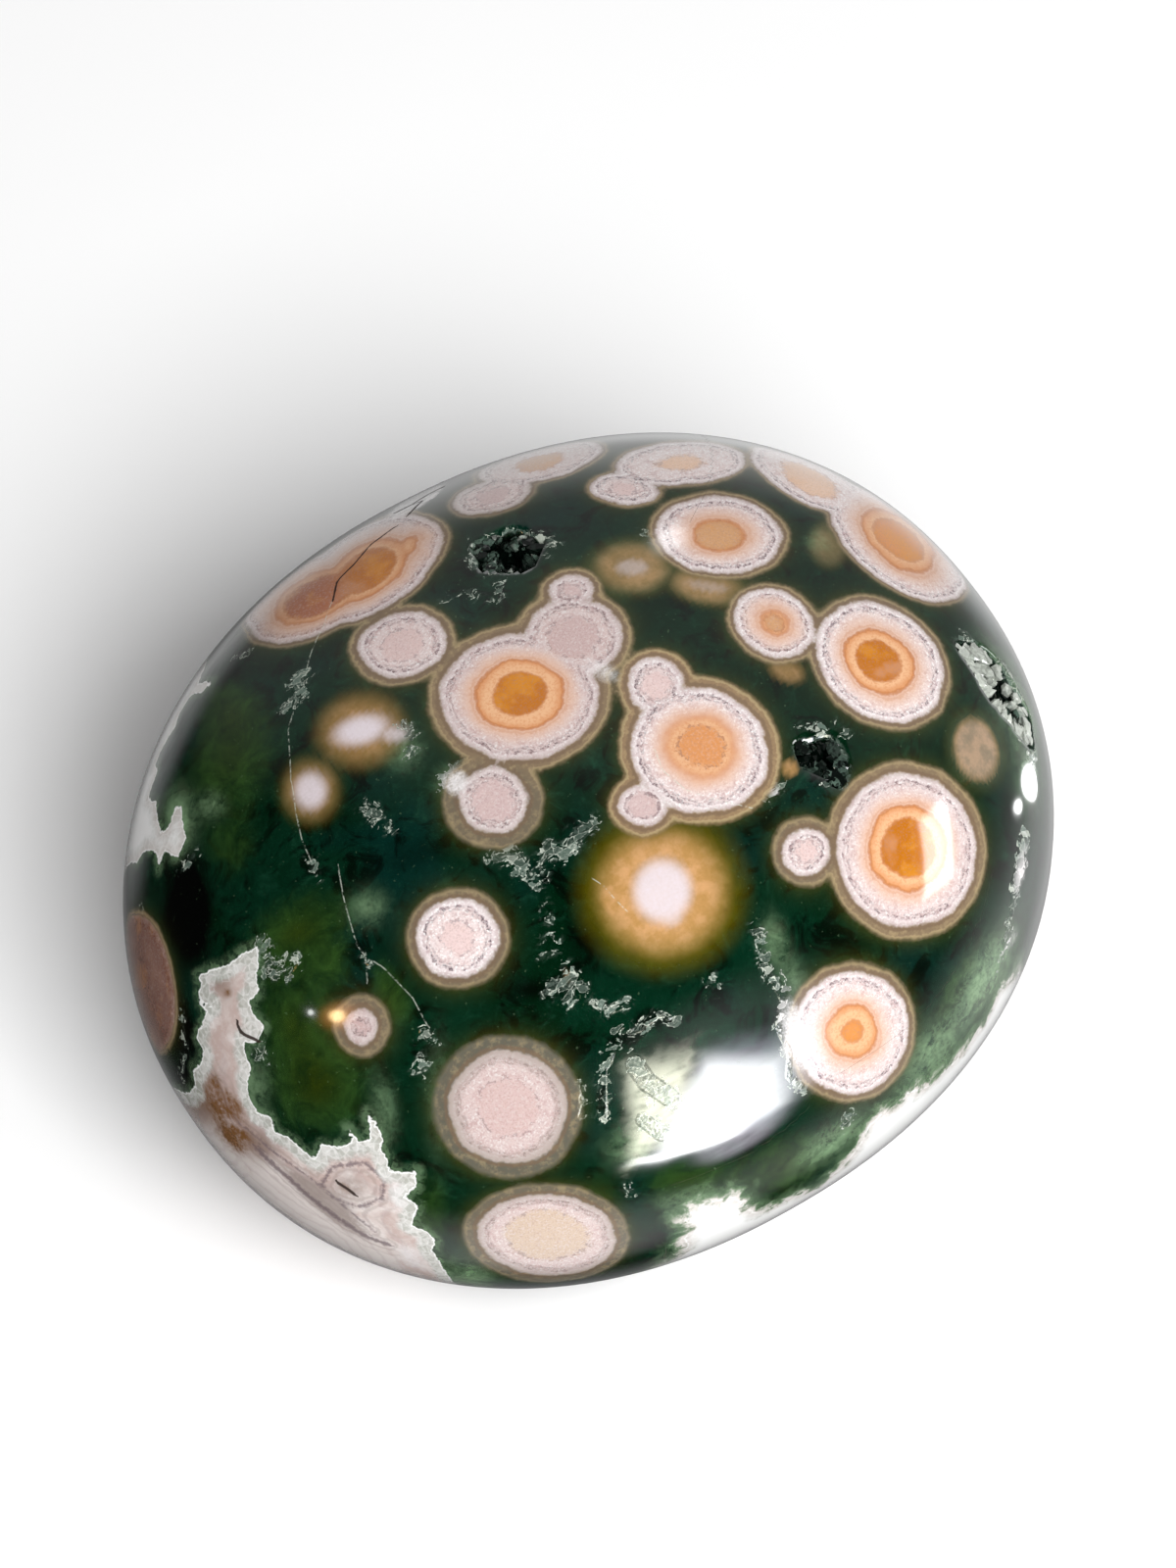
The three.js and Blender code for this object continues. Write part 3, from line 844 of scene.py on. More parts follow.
    def sunk(self, orbs: Sequence[SunkOrb]) -> Array:
        """How strongly each sunken orb's pale middle, amber ring and glow show through.

        Args:
            orbs: the sunken orbs.
        Returns:
            Array (n, 4) of white, amber, glow and grey from 0 to 1.
        """
        total = np.zeros((len(self.points), 4))
        for orb in orbs:
            rho = self.oval(orb.place, orb.wide, orb.high, orb.tilt)[1]
            amber = orb.amber_strength * (1 - smoothstep(1 - orb.soft, 1 + orb.soft, rho))
            glow = orb.glow * (1 - smoothstep(*self.glow_span, rho))
            white = np.zeros(len(rho))
            if orb.white:
                near = self.oval(orb.place, *orb.white, orb.tilt)[1]
                white = orb.white_strength * (1 - smoothstep(1 - orb.soft, 1 + orb.soft, near))
            layer = np.stack([white, amber, glow, orb.grey * np.maximum(amber, glow)], 1)
            total = np.maximum(total, layer)
        return total

    def ground(self, clouds: Sequence[Cloud]) -> Array:
        """How much of each kind of cloud lies at each point: bell curves of their shares, added.

        Args:
            clouds: the clouds.
        Returns:
            Array (n, 5) in the order of Ground.
        """
        total = np.zeros((len(self.points), len(Ground)))
        for cloud in clouds:
            rho = self.oval(cloud.place, cloud.wide, cloud.high, cloud.tilt)[1]
            total[:, cloud.kind.value] += cloud.strength * np.exp(-self.cloud_fall * rho ** 2)
        return np.minimum(total, self.cloud_most)

    def veins(self, strokes: Sequence[Stroke]) -> Array:
        """Distance to the veins in mm, negative inside.

        Args:
            strokes: the veins.
        Returns:
            Array (n, 4) in the order of Vein.
        """
        nearest = np.full((len(self.points), len(Vein)), FAR)
        for stroke in strokes:
            away = distance_to_path(self.points, self.view.places(stroke.path))
            column = nearest[:, stroke.vein.value]
            np.minimum(column, away - stroke.width / 2, out=column)
        return nearest

    def thin(self, strokes: Sequence[Stroke]) -> Array:
        """How far to the side the nearest thin vein runs, in mm, and half its width.

        The distance changes its sign across the vein, so that it stays sharp between points.

        Args:
            strokes: the veins; the crystal ones are left out.
        Returns:
            Array (n, 3): the signed distance, half the vein's width, and 0.
        """
        nearest = np.full((len(self.points), 3), FAR)
        for stroke in strokes:
            if stroke.vein is Vein.CRYSTALS:
                continue
            offset = offset_from_path(self.points, self.normals, self.view.places(stroke.path))
            closer = np.abs(offset) < np.abs(nearest[:, 0])
            nearest[closer, 0] = offset[closer]
            nearest[closer, 1] = stroke.width / 2
        return nearest * [1, 1, 0]

    def quartz(self, fields: Sequence[QuartzField]) -> Array:
        """Distance to the edge of the quartz fields in mm, positive inside, and their whiteness.

        A point is inside a loop where the loop turns once round it as seen on the sphere of
        directions.

        Args:
            fields: the fields.
        Returns:
            Array (n, 3): the distance, the whiteness of the nearest field, and 0.
        """
        directions = self.pebble.direction(self.points)
        depth = np.full(len(self.points), -FAR)
        white = np.zeros(len(self.points))
        for part in fields:
            loop = self.view.places(part.edge)
            loop = np.vstack([loop, loop[:1]])
            shares = np.linspace(0, 1, 5)[:-1, None]
            dense = (loop[:-1, None] + np.diff(loop, axis=0)[:, None] * shares).reshape(-1, 3)
            way = self.pebble.direction(dense)
            dense = self.pebble.point(way)
            home = self.pebble.direction(self.view.place(part.middle))
            sense = np.sign(turns(home[None], way)[0])
            inside = turns(directions, way) * sense > 0.5
            away = distance_to_path(self.points, np.vstack([dense, dense[:1]]))
            signed = np.where(inside, away, -away)
            white = np.where(signed > depth, part.white, white)
            depth = np.maximum(depth, signed)
        return np.stack([depth, white, np.zeros(len(depth))], 1)

    def hollows(self, pockets: Sequence[Pocket]) -> Array:
        """Distance outwards from the pockets' edges, negative over the pockets.

        Args:
            pockets: the pockets.
        Returns:
            Distances in mm, shape (n,).
        """
        nearest = np.full(len(self.points), FAR)
        for pocket in pockets:
            middle, rows = pocket.axes(self.pebble)
            local = (self.points - middle) @ rows.T
            away = (pocket.reach(local) - 1) * math.sqrt(pocket.long * pocket.wide) / 2
            near = np.abs(local[:, 2]) < MOUTH_SPAN
            nearest = np.minimum(nearest, np.where(near, away, FAR))
        return nearest


def smooth_minimum(a: Array, b: Array, blend: float) -> Array:
    """Smaller of two distances, rounded off where they are within blend of each other."""
    mix = np.clip(0.5 + 0.5 * (b - a) / blend, 0, 1)
    return b + (a - b) * mix - blend * mix * (1 - mix)


def gaps_to_path(points: Array, path: Array) -> Iterator[tuple[Array, Array, Array]]:
    """Goes along a line step by step.

    Args:
        points: shape (n, 3).
        path: corners of the line, shape (m, 3).
    Yields:
        The step, the ways from its start to the points, and the ways from its nearest place.
    """
    for start, end in zip(path[:-1], path[1:]):
        step, way = end - start, points - start
        share = np.clip(way @ step / max(step @ step, 1e-12), 0, 1)
        yield step, way, way - share[:, None] * step


def distance_to_path(points: Array, path: Array) -> Array:
    """Distance from each point to a line of straight steps.

    Args:
        points: shape (n, 3).
        path: corners of the line, shape (m, 3).
    Returns:
        Distances, shape (n,).
    """
    squares = ((gap * gap).sum(1) for _, _, gap in gaps_to_path(points, path))
    return np.sqrt(reduce(np.minimum, squares))


def offset_from_path(points: Array, normals: Array, path: Array) -> Array:
    """Distance along the surface to a line of straight steps, positive on its left.

    Args:
        points: shape (n, 3).
        normals: the surface's normal at each point.
        path: corners of the line, shape (m, 3).
    Returns:
        Signed distances, shape (n,).
    """
    nearest = np.full(len(points), np.inf)
    signed = np.zeros(len(points))
    for step, way, gap in gaps_to_path(points, path):
        flat = gap - (gap * normals).sum(1)[:, None] * normals
        left = (np.cross(step, way) * normals).sum(1) >= 0
        away = np.linalg.norm(gap, axis=1)
        closer = away < nearest
        signed[closer] = (np.linalg.norm(flat, axis=1) * np.where(left, 1, -1))[closer]
        nearest[closer] = away[closer]
    return np.where(nearest < FLAT_SPAN, signed, np.copysign(nearest, signed))


def turns(directions: Array, loop: Array) -> Array:
    """How often a closed loop turns round each direction on the unit sphere.

    It adds up the angles between neighbouring corners as they show from the direction.

    Args:
        directions: unit directions, shape (n, 3).
        loop: unit directions of the corners, shape (m, 3).
    Returns:
        Turns, shape (n,).
    """
    total = np.zeros(len(directions))
    for a, b in zip(loop, np.roll(loop, -1, 0)):
        cross = (directions * np.cross(a, b)).sum(1)
        dot = a @ b - (directions @ a) * (directions @ b)
        total += np.arctan2(cross, dot)
    return total / (2 * math.pi)


# ---------------------------------------------------------------- node helpers

class Desk:
    """Lays shader nodes in one tree with short calls. Distances in the calls are in mm."""

    def __init__(self, tree: bpy.types.NodeTree) -> None:
        """Starts on an emptied tree."""
        self.tree = tree
        tree.nodes.clear()

    def node(self, kind: str, **settings: object) -> bpy.types.Node:
        """A new node with the given properties set."""
        made = self.tree.nodes.new(kind)
        for name, value in settings.items():
            setattr(made, name, value)
        return made

    def put(self, socket: Socket, value: object) -> None:
        """Links a socket to a value's socket, or sets it to a plain value."""
        if isinstance(value, Socket):
            self.tree.links.new(value, socket)
        elif isinstance(value, tuple) and len(value) == 3 and len(socket.default_value) == 4:
            socket.default_value = (*value, 1.0)
        else:
            socket.default_value = value

    def fill(self, node: bpy.types.Node, **values: object) -> bpy.types.Node:
        """Puts values in a node's inputs by name, an underscore for each space in it."""
        for name, value in values.items():
            self.put(node.inputs[name.replace("_", " ")], value)
        return node

    def group(self, tree: bpy.types.NodeTree, **values: object) -> bpy.types.Node:
        """A group node with its inputs filled."""
        return self.fill(self.node("ShaderNodeGroup", node_tree=tree), **values)

    def maths(self, operation: str, *values: object) -> Socket:
        """A Math node on up to three values."""
        made = self.node("ShaderNodeMath", operation=operation)
        for socket, value in zip(made.inputs, values):
            self.put(socket, value)
        return made.outputs[0]

    def add(self, *values: object) -> Socket:
        """Sum of values."""
        return reduce(lambda total, value: self.maths("ADD", total, value), values)

    def times(self, *values: object) -> Socket:
        """Product of values."""
        return reduce(lambda total, value: self.maths("MULTIPLY", total, value), values)

    def ramp(self, value: object, gain: float, base: float) -> Socket:
        """A value times a gain, plus a base."""
        return self.maths("MULTIPLY_ADD", value, gain, base)

    def rest(self, value: object) -> Socket:
        """One less a value."""
        return self.maths("SUBTRACT", 1.0, value)

    def step(self, value: object, low: float, high: float) -> Socket:
        """Soft step from 0 at low to 1 at high; low may be the larger."""
        rising = (low, high, 0.0, 1.0) if low <= high else (high, low, 1.0, 0.0)
        made = self.node("ShaderNodeMapRange", interpolation_type="SMOOTHSTEP")
        self.put(made.inputs["Value"], value)
        for name, number in zip(("From Min", "From Max", "To Min", "To Max"), rising):
            self.put(made.inputs[name], number)
        return made.outputs["Result"]

    def line(self, value: object, middle: float, half: float, soft: float) -> Socket:
        """1 within half of middle, falling to 0 over soft."""
        away = self.maths("ABSOLUTE", self.maths("SUBTRACT", value, middle))
        return self.step(away, half + soft, half)

    def mix(self, factor: object, a: object, b: object, blend: str = "MIX") -> Socket:
        """Colour a turning into colour b."""
        made = self.node("ShaderNodeMix", data_type="RGBA", blend_type=blend)
        for number, value in ((0, factor), (6, a), (7, b)):
            self.put(made.inputs[number], value)
        return made.outputs[2]

    def lay(self, under: object, *coats: tuple) -> object:
        """Colours laid over one another.

        Args:
            under: the lowest colour.
            coats: for each coat its colour and the factors that make up how much it covers.
        Returns:
            The colour of them all.
        """
        for colour, *factors in coats:
            under = self.mix(self.times(*factors), under, colour)
        return under

    def dot(self, vector: Socket, other: Array) -> Socket:
        """Dot product of a vector with a plain one."""
        made = self.node("ShaderNodeVectorMath", operation="DOT_PRODUCT")
        self.put(made.inputs[0], vector)
        self.put(made.inputs[1], tuple(float(part) for part in other))
        return made.outputs["Value"]

    def scaled(self, colour: Colour, factor: Socket) -> Socket:
        """A plain colour times a value."""
        made = self.node("ShaderNodeVectorMath", operation="SCALE")
        self.put(made.inputs[0], colour)
        self.put(made.inputs["Scale"], factor)
        return made.outputs[0]

    def noise(self, vector: object, scale: float, detail: float = 3.0, rough: float = 0.5,
              twist: float = 0.0) -> Socket:
        """Noise from 0 to 1, scale in patches a mm."""
        return self.fill(
            self.node("ShaderNodeTexNoise"), Vector=vector, Scale=scale, Detail=detail,
            Roughness=rough, Distortion=twist).outputs[0]

    def cells(self, vector: object, scale: float, feature: str = "F1") -> bpy.types.Node:
        """Voronoi cells, scale in cells a mm."""
        made = self.node("ShaderNodeTexVoronoi", feature=feature)
        return self.fill(made, Vector=vector, Scale=scale)

    def parts(self, colour: Socket) -> list[Socket]:
        """The three parts of a colour."""
        made = self.node("ShaderNodeSeparateColor")
        self.put(made.inputs[0], colour)
        return list(made.outputs)

    def chances(self, vector: object, scale: float) -> list[Socket]:
        """Three random numbers from 0 to 1 for each cell, scale in cells a mm."""
        return self.parts(self.cells(vector, scale).outputs["Color"])

    def quad(self, name: str) -> list[Socket]:
        """The four parts of a mesh colour attribute."""
        made = self.node("ShaderNodeAttribute", attribute_name=name)
        parts = self.node("ShaderNodeSeparateXYZ")
        self.put(parts.inputs[0], made.outputs["Vector"])
        return [*parts.outputs, made.outputs["Alpha"]]

    def split(self, name: str) -> list[Socket]:
        """The three parts of a mesh attribute."""
        return self.quad(name)[:3]

    def millimetres(self) -> Socket:
        """Object coordinates in mm."""
        place = self.node("ShaderNodeTexCoord").outputs["Object"]
        return self.fill(
            self.node("ShaderNodeMapping"), Vector=place, Scale=(1 / MM,) * 3).outputs[0]

    def bump(self, height: Socket, strength: float = 1.0) -> Socket:
        """The normal that a height in mm gives."""
        return self.fill(
            self.node("ShaderNodeBump"), Strength=strength, Distance=MM, Height=height).outputs[0]


def crystal_grain_group() -> bpy.types.NodeTree:
    """Angular crystal grain: each cell has its own tone and its own tilt.

    Returns:
        A group that takes a place in mm and gives Tone, Facet (a height) and Edge.
    """
    tree = bpy.data.node_groups.new("crystal_grain", "ShaderNodeTree")
    desk = Desk(tree)
    tree.interface.new_socket("Place", in_out="INPUT", socket_type="NodeSocketVector")
    for label in ("Tone", "Facet", "Edge"):
        tree.interface.new_socket(label, in_out="OUTPUT", socket_type="NodeSocketFloat")
    place = desk.node("NodeGroupInput").outputs["Place"]
    large, small = desk.cells(place, 1.5), desk.cells(place, 3.6)
    gap = desk.cells(place, 1.5, "DISTANCE_TO_EDGE").outputs["Distance"]
    desk.fill(
        desk.node("NodeGroupOutput"),
        Tone=desk.add(
            desk.times(desk.parts(large.outputs["Color"])[0], 0.45),
            desk.times(desk.parts(small.outputs["Color"])[0], 0.4),
            desk.times(desk.noise(place, 0.8, 2.0), 0.15)),
        Facet=desk.add(
            desk.times(large.outputs["Distance"], 0.5), desk.times(small.outputs["Distance"], 0.5)),
        Edge=desk.step(gap, 0.12, 0.02))
    return tree


# ---------------------------------------------------------------- finishes

def start_material(name: str) -> tuple[bpy.types.Material, Desk, bpy.types.Node]:
    """A material with one Principled shader wired to its output.

    Args:
        name: its name.
    Returns:
        The material, a desk on its nodes, and the shader.
    """
    material = bpy.data.materials.new(name)
    material.use_nodes = True
    desk = Desk(material.node_tree)
    shader = desk.node("ShaderNodeBsdfPrincipled")
    desk.put(desk.node("ShaderNodeOutputMaterial").inputs["Surface"], shader.outputs[0])
    return material, desk, shader


@dataclass(frozen=True)
class JasperFinish:
    """The polished jasper: green ground, banded orbs, quartz fields, veins and druzy hollows."""

    ground_dark: Colour = rgb("001a0a")
    ground_deep: Colour = rgb("022314")
    ground_blue: Colour = rgb("04282b")
    ground_light: Colour = rgb("1a4531")
    moss_dark: Colour = rgb("0f240a")
    moss_olive: Colour = rgb("2a3302")
    moss_light: Colour = rgb("2b481c")
    mist: Colour = rgb("7a9872")
    # Near black: the ground's dark depths and patches, and painted shade deep in the pockets.
    black_and_shade: Colour = rgb("000100")
    stain: Colour = rgb("a2744a")
    olive_glow: Colour = rgb("5a5200")
    teal_glow: Colour = rgb("3f706c")
    sunk_amber: Colour = rgb("b88b55")
    sunk_brown: Colour = rgb("7c6846")
    sunk_white: Colour = rgb("d6cbd0")
    quartz_pink: Colour = rgb("bfaaa3")
    quartz_white: Colour = rgb("ddd4d0")
    quartz_mauve: Colour = rgb("a79292")
    quartz_grey: Colour = rgb("978a84")
    quartz_frost: Colour = rgb("8b9588")
    quartz_brown: Colour = rgb("75502f")
    quartz_shadow: Colour = rgb("7d6658")
    seam: Colour = rgb("6f6064")
    crystal_dark: Colour = rgb("13231b")
    crystal_mid: Colour = rgb("5e6e64")
    crystal_pale: Colour = rgb("c9cfc2")
    rim_olive: Colour = rgb("5a594e")
    rim_amber: Colour = rgb("94795a")
    rim_line: Colour = rgb("b4a179")
    rim_shade: Colour = rgb("6f5b4a")
    rim_glow: Colour = rgb("45451a")
    shell_white: Colour = rgb("e9dfde")
    shell_lilac: Colour = rgb("dccdce")
    shell_pink: Colour = rgb("e0cdca")
    shell_warm: Colour = rgb("d3a98f")
    # Brown of the orbs' speckle, and the painted shade laid over dulled orbs.
    shell_brown_and_shade: Colour = rgb("967972")
    shell_grey: Colour = rgb("a0948c")
    shell_shade: Colour = rgb("b49898")
    line_white: Colour = rgb("fbfbfa")
    dot: Colour = rgb("584850")
    golden: Colour = rgb("d48c20")
    peach: Colour = rgb("cd8c5c")
    peach_light: Colour = rgb("dfae84")
    peach_line: Colour = rgb("b2703f")
    crack: Colour = rgb("2c1d17")
    # Pale frost, also the colour of painted glare over orbs and crystals.
    frost: Colour = rgb("e6e2e2")
    roughness: float = 0.07
    refraction: float = 1.54
    coat_roughness: float = 0.04
    coat_refraction: float = 1.5

    def build(self, grain: bpy.types.NodeTree) -> bpy.types.Material:
        """Makes the material.

        Args:
            grain: the crystal grain group.
        Returns:
            The material.
        """
        material, desk, shader = start_material("polished_jasper")
        painter = JasperPainter(self, desk, grain)
        sparkle, crack, druzy = painter.paint()
        place = painter.place
        flush = desk.step(desk.quad("veins")[Vein.CRYSTALS.value], 0.1, -0.1)
        relief = desk.add(
            desk.times(desk.noise(place, 0.16, 2.0), 0.05),
            desk.times(desk.noise(place, 9.0, 2.0), 0.0006),
            desk.times(painter.crystals.outputs["Facet"],
                       desk.add(desk.times(flush, 0.04), desk.times(druzy, 0.2))))
        desk.fill(
            shader, Base_Color=painter.colour, IOR=self.refraction,
            Roughness=desk.add(
                self.roughness, desk.times(desk.noise(place, 0.9, 3.0), 0.05),
                desk.times(sparkle, 0.12), desk.times(crack, 0.7), desk.times(druzy, 0.35)),
            Coat_Weight=desk.times(
                desk.rest(druzy), desk.rest(desk.times(sparkle, 0.4)), desk.rest(crack)),
            Coat_Roughness=self.coat_roughness, Coat_IOR=self.coat_refraction,
            Normal=desk.bump(relief))
        return material


class OrbPainter:
    """Colours the banded orbs by the distances to their bands in mm, each negative inside."""

    def __init__(self, tones: JasperFinish, desk: Desk, place: Socket, sway: Socket) -> None:
        """Lays what the bands share: their wandering distances and the noises in them.

        Args:
            tones: the colours.
            desk: the material's desk.
            place: the place in mm.
            sway: how far the bands wander, mm.
        """
        self.tones, self.desk = tones, desk
        edge, rim, self.haze = desk.split("bands")
        core, peach, self.crisp, self.brown_and_shade = desk.quad("heart")
        tone = desk.node("ShaderNodeAttribute", attribute_name="tone")
        self.heart, self.amber = tone.outputs["Color"], tone.outputs["Alpha"]
        self.edge, self.rim = desk.add(edge, sway), desk.add(rim, desk.times(sway, 0.8))
        self.core, self.peach = desk.add(core, desk.times(sway, 0.9)), desk.add(peach, sway)
        self.drift = desk.noise(place, 0.4, 3.0, 0.55)
        self.mottle = desk.noise(place, 1.6, 5.0, 0.65)
        self.fine = desk.noise(place, 5.5, 3.0, 0.6)
        self.speckle = desk.noise(place, 7.5, 2.0, 0.6)
        self.dashes = desk.step(desk.noise(place, 2.2, 3.0, 0.6), 0.47, 0.56)
        self.flicker = desk.ramp(self.fine, 0.4, -0.2)
        self.blur = desk.rest(self.crisp)
        # Browning in crisp orbs, partly painted shade.
        self.browned_and_shaded = desk.times(self.brown_and_shade, desk.ramp(self.crisp, -0.7, 0.8))

    def band(self) -> Socket:
        """The olive rim, amber in some orbs, with a pale line along its outer edge."""
        desk, tones, mottle, fine = self.desk, self.tones, self.mottle, self.fine
        step, line, ramp, add = desk.step, desk.line, desk.ramp, desk.add
        outer = line(add(self.rim, desk.times(self.flicker, 0.4)), -0.12, 0.05, 0.11)
        return desk.lay(
            tones.rim_olive,
            (tones.rim_amber, add(self.amber, ramp(mottle, 0.3, -0.15))),
            (tones.rim_shade, step(self.speckle, 0.45, 0.7), 0.3),
            (tones.rim_line, step(mottle, 0.45, 0.7), 0.3),
            (tones.rim_shade, line(self.edge, 0.1, 0.06, 0.16), ramp(mottle, 0.5, 0.4)),
            (tones.rim_line, outer, self.amber, ramp(fine, 0.6, 0.35)))

    def shell(self) -> Socket:
        """The white part: fine dark lines, a ring of dashes, browner and painted in shade in dulled
        orbs.
        """
        desk, tones, mottle, fine = self.desk, self.tones, self.mottle, self.fine
        step, line, ramp, times, add = desk.step, desk.line, desk.ramp, desk.times, desk.add
        edge, dashes, flicker = self.edge, self.dashes, self.flicker
        waver = desk.maths("SINE", times(add(edge, times(mottle, 1.3)), 15.0))
        clump = ramp(step(self.speckle, 0.42, 0.6), 0.7, 0.3)
        shaken = add(edge, flicker)
        return desk.lay(
            tones.shell_lilac,
            (tones.shell_pink, step(edge, -0.45, -1.0)),
            (tones.shell_white, step(mottle, 0.38, 0.66), 0.6),
            (tones.shell_shade, step(mottle, 0.5, 0.34), 0.5),
            (tones.shell_shade, step(waver, 0.0, 1.0), step(fine, 0.4, 0.66), 0.5),
            (tones.line_white, step(fine, 0.5, 0.64), 0.75),
            (tones.shell_shade, step(self.speckle, 0.5, 0.36), 0.4),
            (tones.line_white, line(edge, -0.45, 0.05, 0.12), 0.15),
            (tones.dot, line(shaken, -0.7, 0.09, 0.09), dashes, clump, 0.9),
            (tones.dot, line(shaken, -0.95, 0.05, 0.08), desk.rest(dashes), clump, 0.6),
            (tones.dot, line(add(edge, times(flicker, 0.5)), -0.66, 0.03, 0.1), 0.16),
            # Dulled orbs' white browned and darkened: partly painted shade.
            (tones.shell_brown_and_shade, self.brown_and_shade, ramp(mottle, 0.4, 0.55)),
            (tones.shell_grey, step(edge, -1.4, -0.2), step(self.amber, 0.33, 0.05), 0.75),
            (tones.shell_grey, step(edge, -0.55, -0.12), 0.45),
            (tones.shell_warm, step(self.peach, 1.5, 0.1),
             add(0.45, times(mottle, 0.5), times(fine, 0.3))))

    def ringed(self, shell: Socket) -> Socket:
        """The shell with the peach ring inside it, drawn in crisp orbs and soft in the rest."""
        desk, tones, mottle, fine = self.desk, self.tones, self.mottle, self.fine
        step, line, peach = desk.step, desk.line, self.peach
        inside = desk.lay(
            tones.peach,
            (tones.peach_light, step(peach, -0.05, -0.6)),
            (tones.peach_light, step(mottle, 0.42, 0.66), 0.5),
            (tones.peach, step(fine, 0.54, 0.36), 0.6),
            (tones.shell_brown_and_shade, self.browned_and_shaded))
        sharp = desk.lay(
            shell,
            (inside, step(peach, 0.06, -0.09)),
            (tones.peach_line, line(peach, 0.0, 0.05, 0.13), desk.ramp(fine, 0.6, 0.4)),
            (tones.peach_line, line(desk.add(peach, self.flicker), 0.3, 0.03, 0.1), 0.25))
        return desk.mix(self.blur, sharp, desk.mix(step(peach, 0.5, -0.5), shell, inside))

    def hearted(self, shell: Socket) -> Socket:
        """The shell with the heart inside it, drawn in crisp orbs and cloudy in the rest."""
        desk, tones, mottle, fine = self.desk, self.tones, self.mottle, self.fine
        step, line, ramp, core = desk.step, desk.line, desk.ramp, self.core
        heart = desk.lay(
            self.heart,
            (tones.peach_line, step(core, -0.55, 0.0), self.crisp, 0.35),
            (tones.golden, step(self.drift, 0.48, 0.66), self.crisp, 0.55),
            (tones.shell_warm, step(self.drift, 0.46, 0.3), self.crisp, 0.3),
            (tones.peach_light, step(mottle, 0.5, 0.7), 0.1),
            (tones.shell_brown_and_shade, step(self.speckle, 0.5, 0.35), 0.3),
            (tones.shell_white, step(fine, 0.5, 0.66), self.blur, self.brown_and_shade),
            (tones.shell_brown_and_shade, self.browned_and_shaded))
        ragged = desk.add(core, ramp(mottle, 0.15, -0.075))
        sharp = desk.lay(
            shell,
            (heart, step(ragged, 0.05, -0.12)),
            (tones.peach_line, line(ragged, 0.0, 0.03, 0.09), ramp(fine, 0.6, 0.2)))
        cloudy = desk.add(core, ramp(mottle, 0.9, -0.45))
        faded = desk.lay(
            shell,
            (heart, step(cloudy, 0.35, -0.3), 0.85),
            (tones.dot, line(desk.add(cloudy, self.flicker), 0.0, 0.03, 0.1), self.dashes, 0.4))
        return desk.mix(self.blur, sharp, faded)


